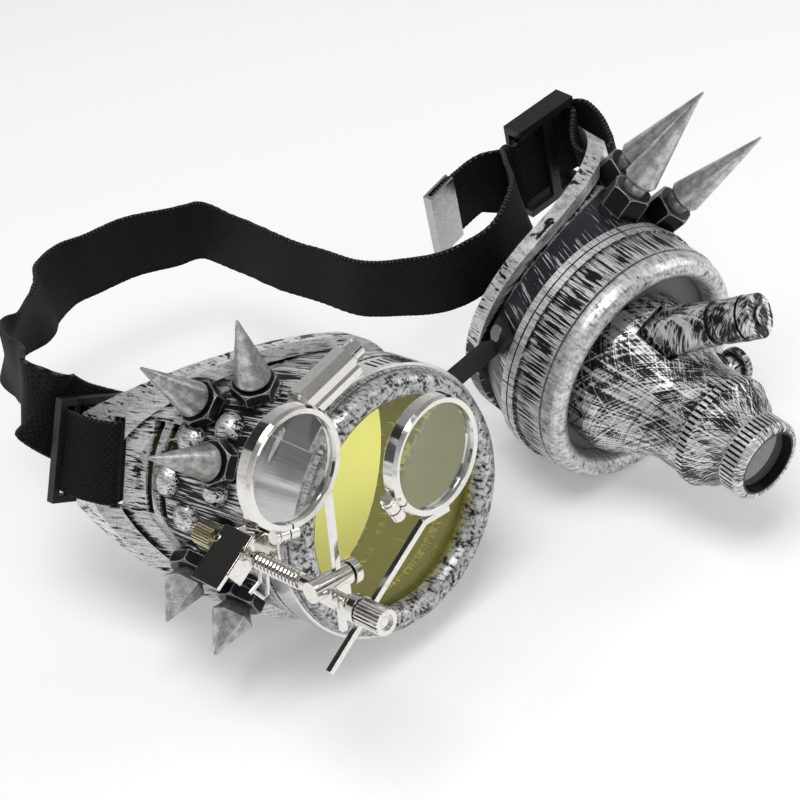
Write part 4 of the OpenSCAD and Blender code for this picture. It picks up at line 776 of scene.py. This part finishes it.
def make_straps():
    finish = webbing()
    left_up = LEFT.to_3x3() @ Vector((0, 0, 1))
    right_up = RIGHT.to_3x3() @ Vector((0, 0, 1))
    slider_up = Matrix.Rotation(math.radians(SLIDER_LEAN), 3, "Y") @ Vector((0, 0, 1))
    front = [in_slider(x, -LAYER) for x in (-13, -9, -4, 0, 4)]
    back = [in_slider(8.5, LAYER - 0.15)] + [in_slider(x, LAYER) for x in (5, 0, -4.5, -9, -13.5)]
    last = len(LOOP) - 1
    loop_up = [slider_up.lerp(right_up, min(1, i / 3, (last - i) / 4)) for i in range(len(LOOP))]
    points = ([from_left(p) for p in FOLD] + [in_assembly(p) for p in BACK] + front
              + [from_right(p) for p in LOOP] + back + [in_assembly(p) for p in TAIL])
    widths = ([left_up] * len(FOLD) + [Vector(w) for w in BACK_WIDTH] + [slider_up] * len(front)
              + loop_up + [slider_up] * len(back) + [Vector(TAIL_WIDTH)] * len(TAIL))
    strap, run = make_webbing("head_strap_webbing", points, widths, finish)
    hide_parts("head_strap")
    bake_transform(strap)
    tab, tab_run = make_webbing("left_tab_webbing", [from_left((x, y, SLOT_C)) for x, y in TAB],
                                [left_up] * len(TAB), finish, closed=True)
    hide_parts("left_strap_tab")
    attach(tab, "left_cup")


def make_nose_strip():
    """Copy of the nose strip, cut into slices between its two rivets."""
    left, right = (sum(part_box(rivet), Vector()) / 2 for rivet in ("left_nose_rivet", "right_nose_rivet"))
    form = bmesh.new()
    form.from_mesh(NODES["nose_strip"].data)
    for k in range(1, STRIP_CUTS):
        bmesh.ops.bisect_plane(form, geom=form.verts[:] + form.edges[:] + form.faces[:], dist=1e-7,
                               plane_co=left.lerp(right, k / STRIP_CUTS), plane_no=right - left)
    mesh = bpy.data.meshes.new("nose_strip_rubber")
    form.to_mesh(mesh)
    form.free()
    mesh.materials.append(NODES["nose_strip"].data.materials[0])
    smooth(mesh)
    strip = placed("nose_strip_rubber", mesh)
    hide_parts("nose_strip")
    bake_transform(strip)


def make_loupe_glass(name, body):
    """Biconvex lens in place of the CAD lens, on the same axis, with the same radius and thickness."""
    corners = np.array([v.co for v in NODES[name].data.vertices]) / MM
    middle = (corners.max(axis=0) + corners.min(axis=0)) / 2
    axes = np.linalg.eigh(np.cov((corners - middle).T))[1]
    axis = axes[:, 0]
    height = (corners - middle) @ axis
    reach = np.linalg.norm(corners - middle - np.outer(height, axis), axis=1)
    radius, half = reach.max(), np.abs(height).max()
    rim = np.abs(height[reach > radius - 0.02]).max()
    side = np.cross(axis, axes[:, 2])
    ball = (radius ** 2 + (half - rim) ** 2) / (2 * max(half - rim, 0.01))
    rings, turns = 26, 96
    outline = []
    for k in range(1, rings + 1):
        r = radius * k / rings
        outline.append((r, half - ball + math.sqrt(ball ** 2 - r ** 2)))
    outline += [(r, -z) for r, z in reversed(outline)]
    verts = [middle + axis * half]
    for r, z in outline:
        for t in range(turns):
            turn = 2 * math.pi * t / turns
            verts.append(middle + axis * z + (axes[:, 2] * math.cos(turn) + side * math.sin(turn)) * r)
    verts.append(middle - axis * half)
    last = len(verts) - 1
    faces = [(0, 1 + t, 1 + (t + 1) % turns) for t in range(turns)]
    for k in range(len(outline) - 1):
        low, high = 1 + k * turns, 1 + (k + 1) * turns
        for t in range(turns):
            beside = (t + 1) % turns
            faces.append((low + t, high + t, high + beside, low + beside))
    faces += [(last, last - turns + (t + 1) % turns, last - turns + t) for t in range(turns)]
    mesh = bpy.data.meshes.new(name + "_glass")
    mesh.from_pydata([Vector(v) * MM for v in verts], [], faces)
    mesh.materials.append(NODES[name].data.materials[0])
    smooth(mesh)
    made = placed(name + "_glass", mesh)
    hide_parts(name)
    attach(made, body)


def make_camera():
    camera = bpy.data.cameras.new("photo_camera")
    camera.lens = CAMERA_LENS
    camera.sensor_width = 36
    camera.clip_start = 0.01
    holder = placed("photo_camera", camera)
    turned = Matrix((CAMERA_RIGHT, CAMERA_UP, CAMERA_BACK)).transposed().to_4x4()
    holder.matrix_world = Matrix.Translation(CAMERA_AT * MM) @ turned
    bpy.context.scene.camera = holder


def area_light(name, at, aim, size, power):
    light = bpy.data.lights.new(name, "AREA")
    light.shape = "RECTANGLE"
    light.size, light.size_y = size
    light.energy = power
    aim_at(placed(name, light), at, aim)


def card(name, at, aim, size):
    """Board that only shows in reflections."""
    mesh = bpy.data.meshes.new(name)
    w, h = size[0] / 2, size[1] / 2
    mesh.from_pydata([(-w, -h, 0), (w, -h, 0), (w, h, 0), (-w, h, 0)], [], [(0, 1, 2, 3)])
    f = Finish(name)
    f.set(Base_Color=(BOARD_GREY, BOARD_GREY, BOARD_GREY, 1), Roughness=0.9)
    mesh.materials.append(f.material)
    board = placed(name, mesh)
    aim_at(board, at, aim)
    board.visible_camera = False
    board.visible_shadow = False
    board.visible_diffuse = False


def make_stage():
    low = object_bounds()[0].z
    bpy.ops.mesh.primitive_plane_add(size=6, location=(0, 0, low))
    floor = bpy.context.object
    floor.name = "floor"
    floor.data.materials.append(floor_finish())
    world = bpy.data.worlds.new("studio")
    bpy.context.scene.world = world
    world.use_nodes = True
    tree = world.node_tree
    tree.nodes["Background"].inputs["Strength"].default_value = 1
    split = tree.nodes.new("ShaderNodeSeparateXYZ")
    ramp = tree.nodes.new("ShaderNodeValToRGB")
    for element, place, shade in zip(ramp.color_ramp.elements, (0.05, 0.75), (0.75, 0.30)):
        element.position = place
        element.color = (shade, shade, shade * 1.01, 1)
    seen = tree.nodes.new("ShaderNodeMix")
    seen.data_type = "RGBA"
    seen.inputs[7].default_value = (1, 1, 1, 1)
    tree.links.new(tree.nodes.new("ShaderNodeTexCoord").outputs["Generated"], split.inputs[0])
    tree.links.new(split.outputs["Z"], ramp.inputs[0])
    tree.links.new(tree.nodes.new("ShaderNodeLightPath").outputs["Is Camera Ray"], seen.inputs[0])
    tree.links.new(ramp.outputs[0], seen.inputs[6])
    tree.links.new(seen.outputs[2], tree.nodes["Background"].inputs["Color"])
    area_light("key_light", (-0.18, -0.1, 0.75), (0, 0, 0.02), (0.45, 0.35), KEY_POWER)
    area_light("side_light", (0.6, -0.3, 0.4), (0, 0, 0.03), (0.3, 0.5), SIDE_POWER)
    card("left_board", (-0.50, 0.0, 0.20), (0, 0, 0.03), (0.5, 0.22))
    card("front_board", (0.1, -0.55, 0.30), (0, 0, 0.03), (0.5, 0.16))
    card("back_board", (-0.196, 0.323, 0.29), (-0.076, -0.032, 0.04), (0.34, 0.26))
    card("right_board", (0.5, 0.2, 0.16), (0, 0, 0.03), (0.4, 0.14))
    bpy.context.scene.view_settings.view_transform = "Standard"


make_camera()
dress_all()
make_straps()
make_nose_strip()
make_loupe_glass("inner_loupe_lens", "inner_loupe")
make_loupe_glass("outer_loupe_lens", "outer_loupe")
make_stage()
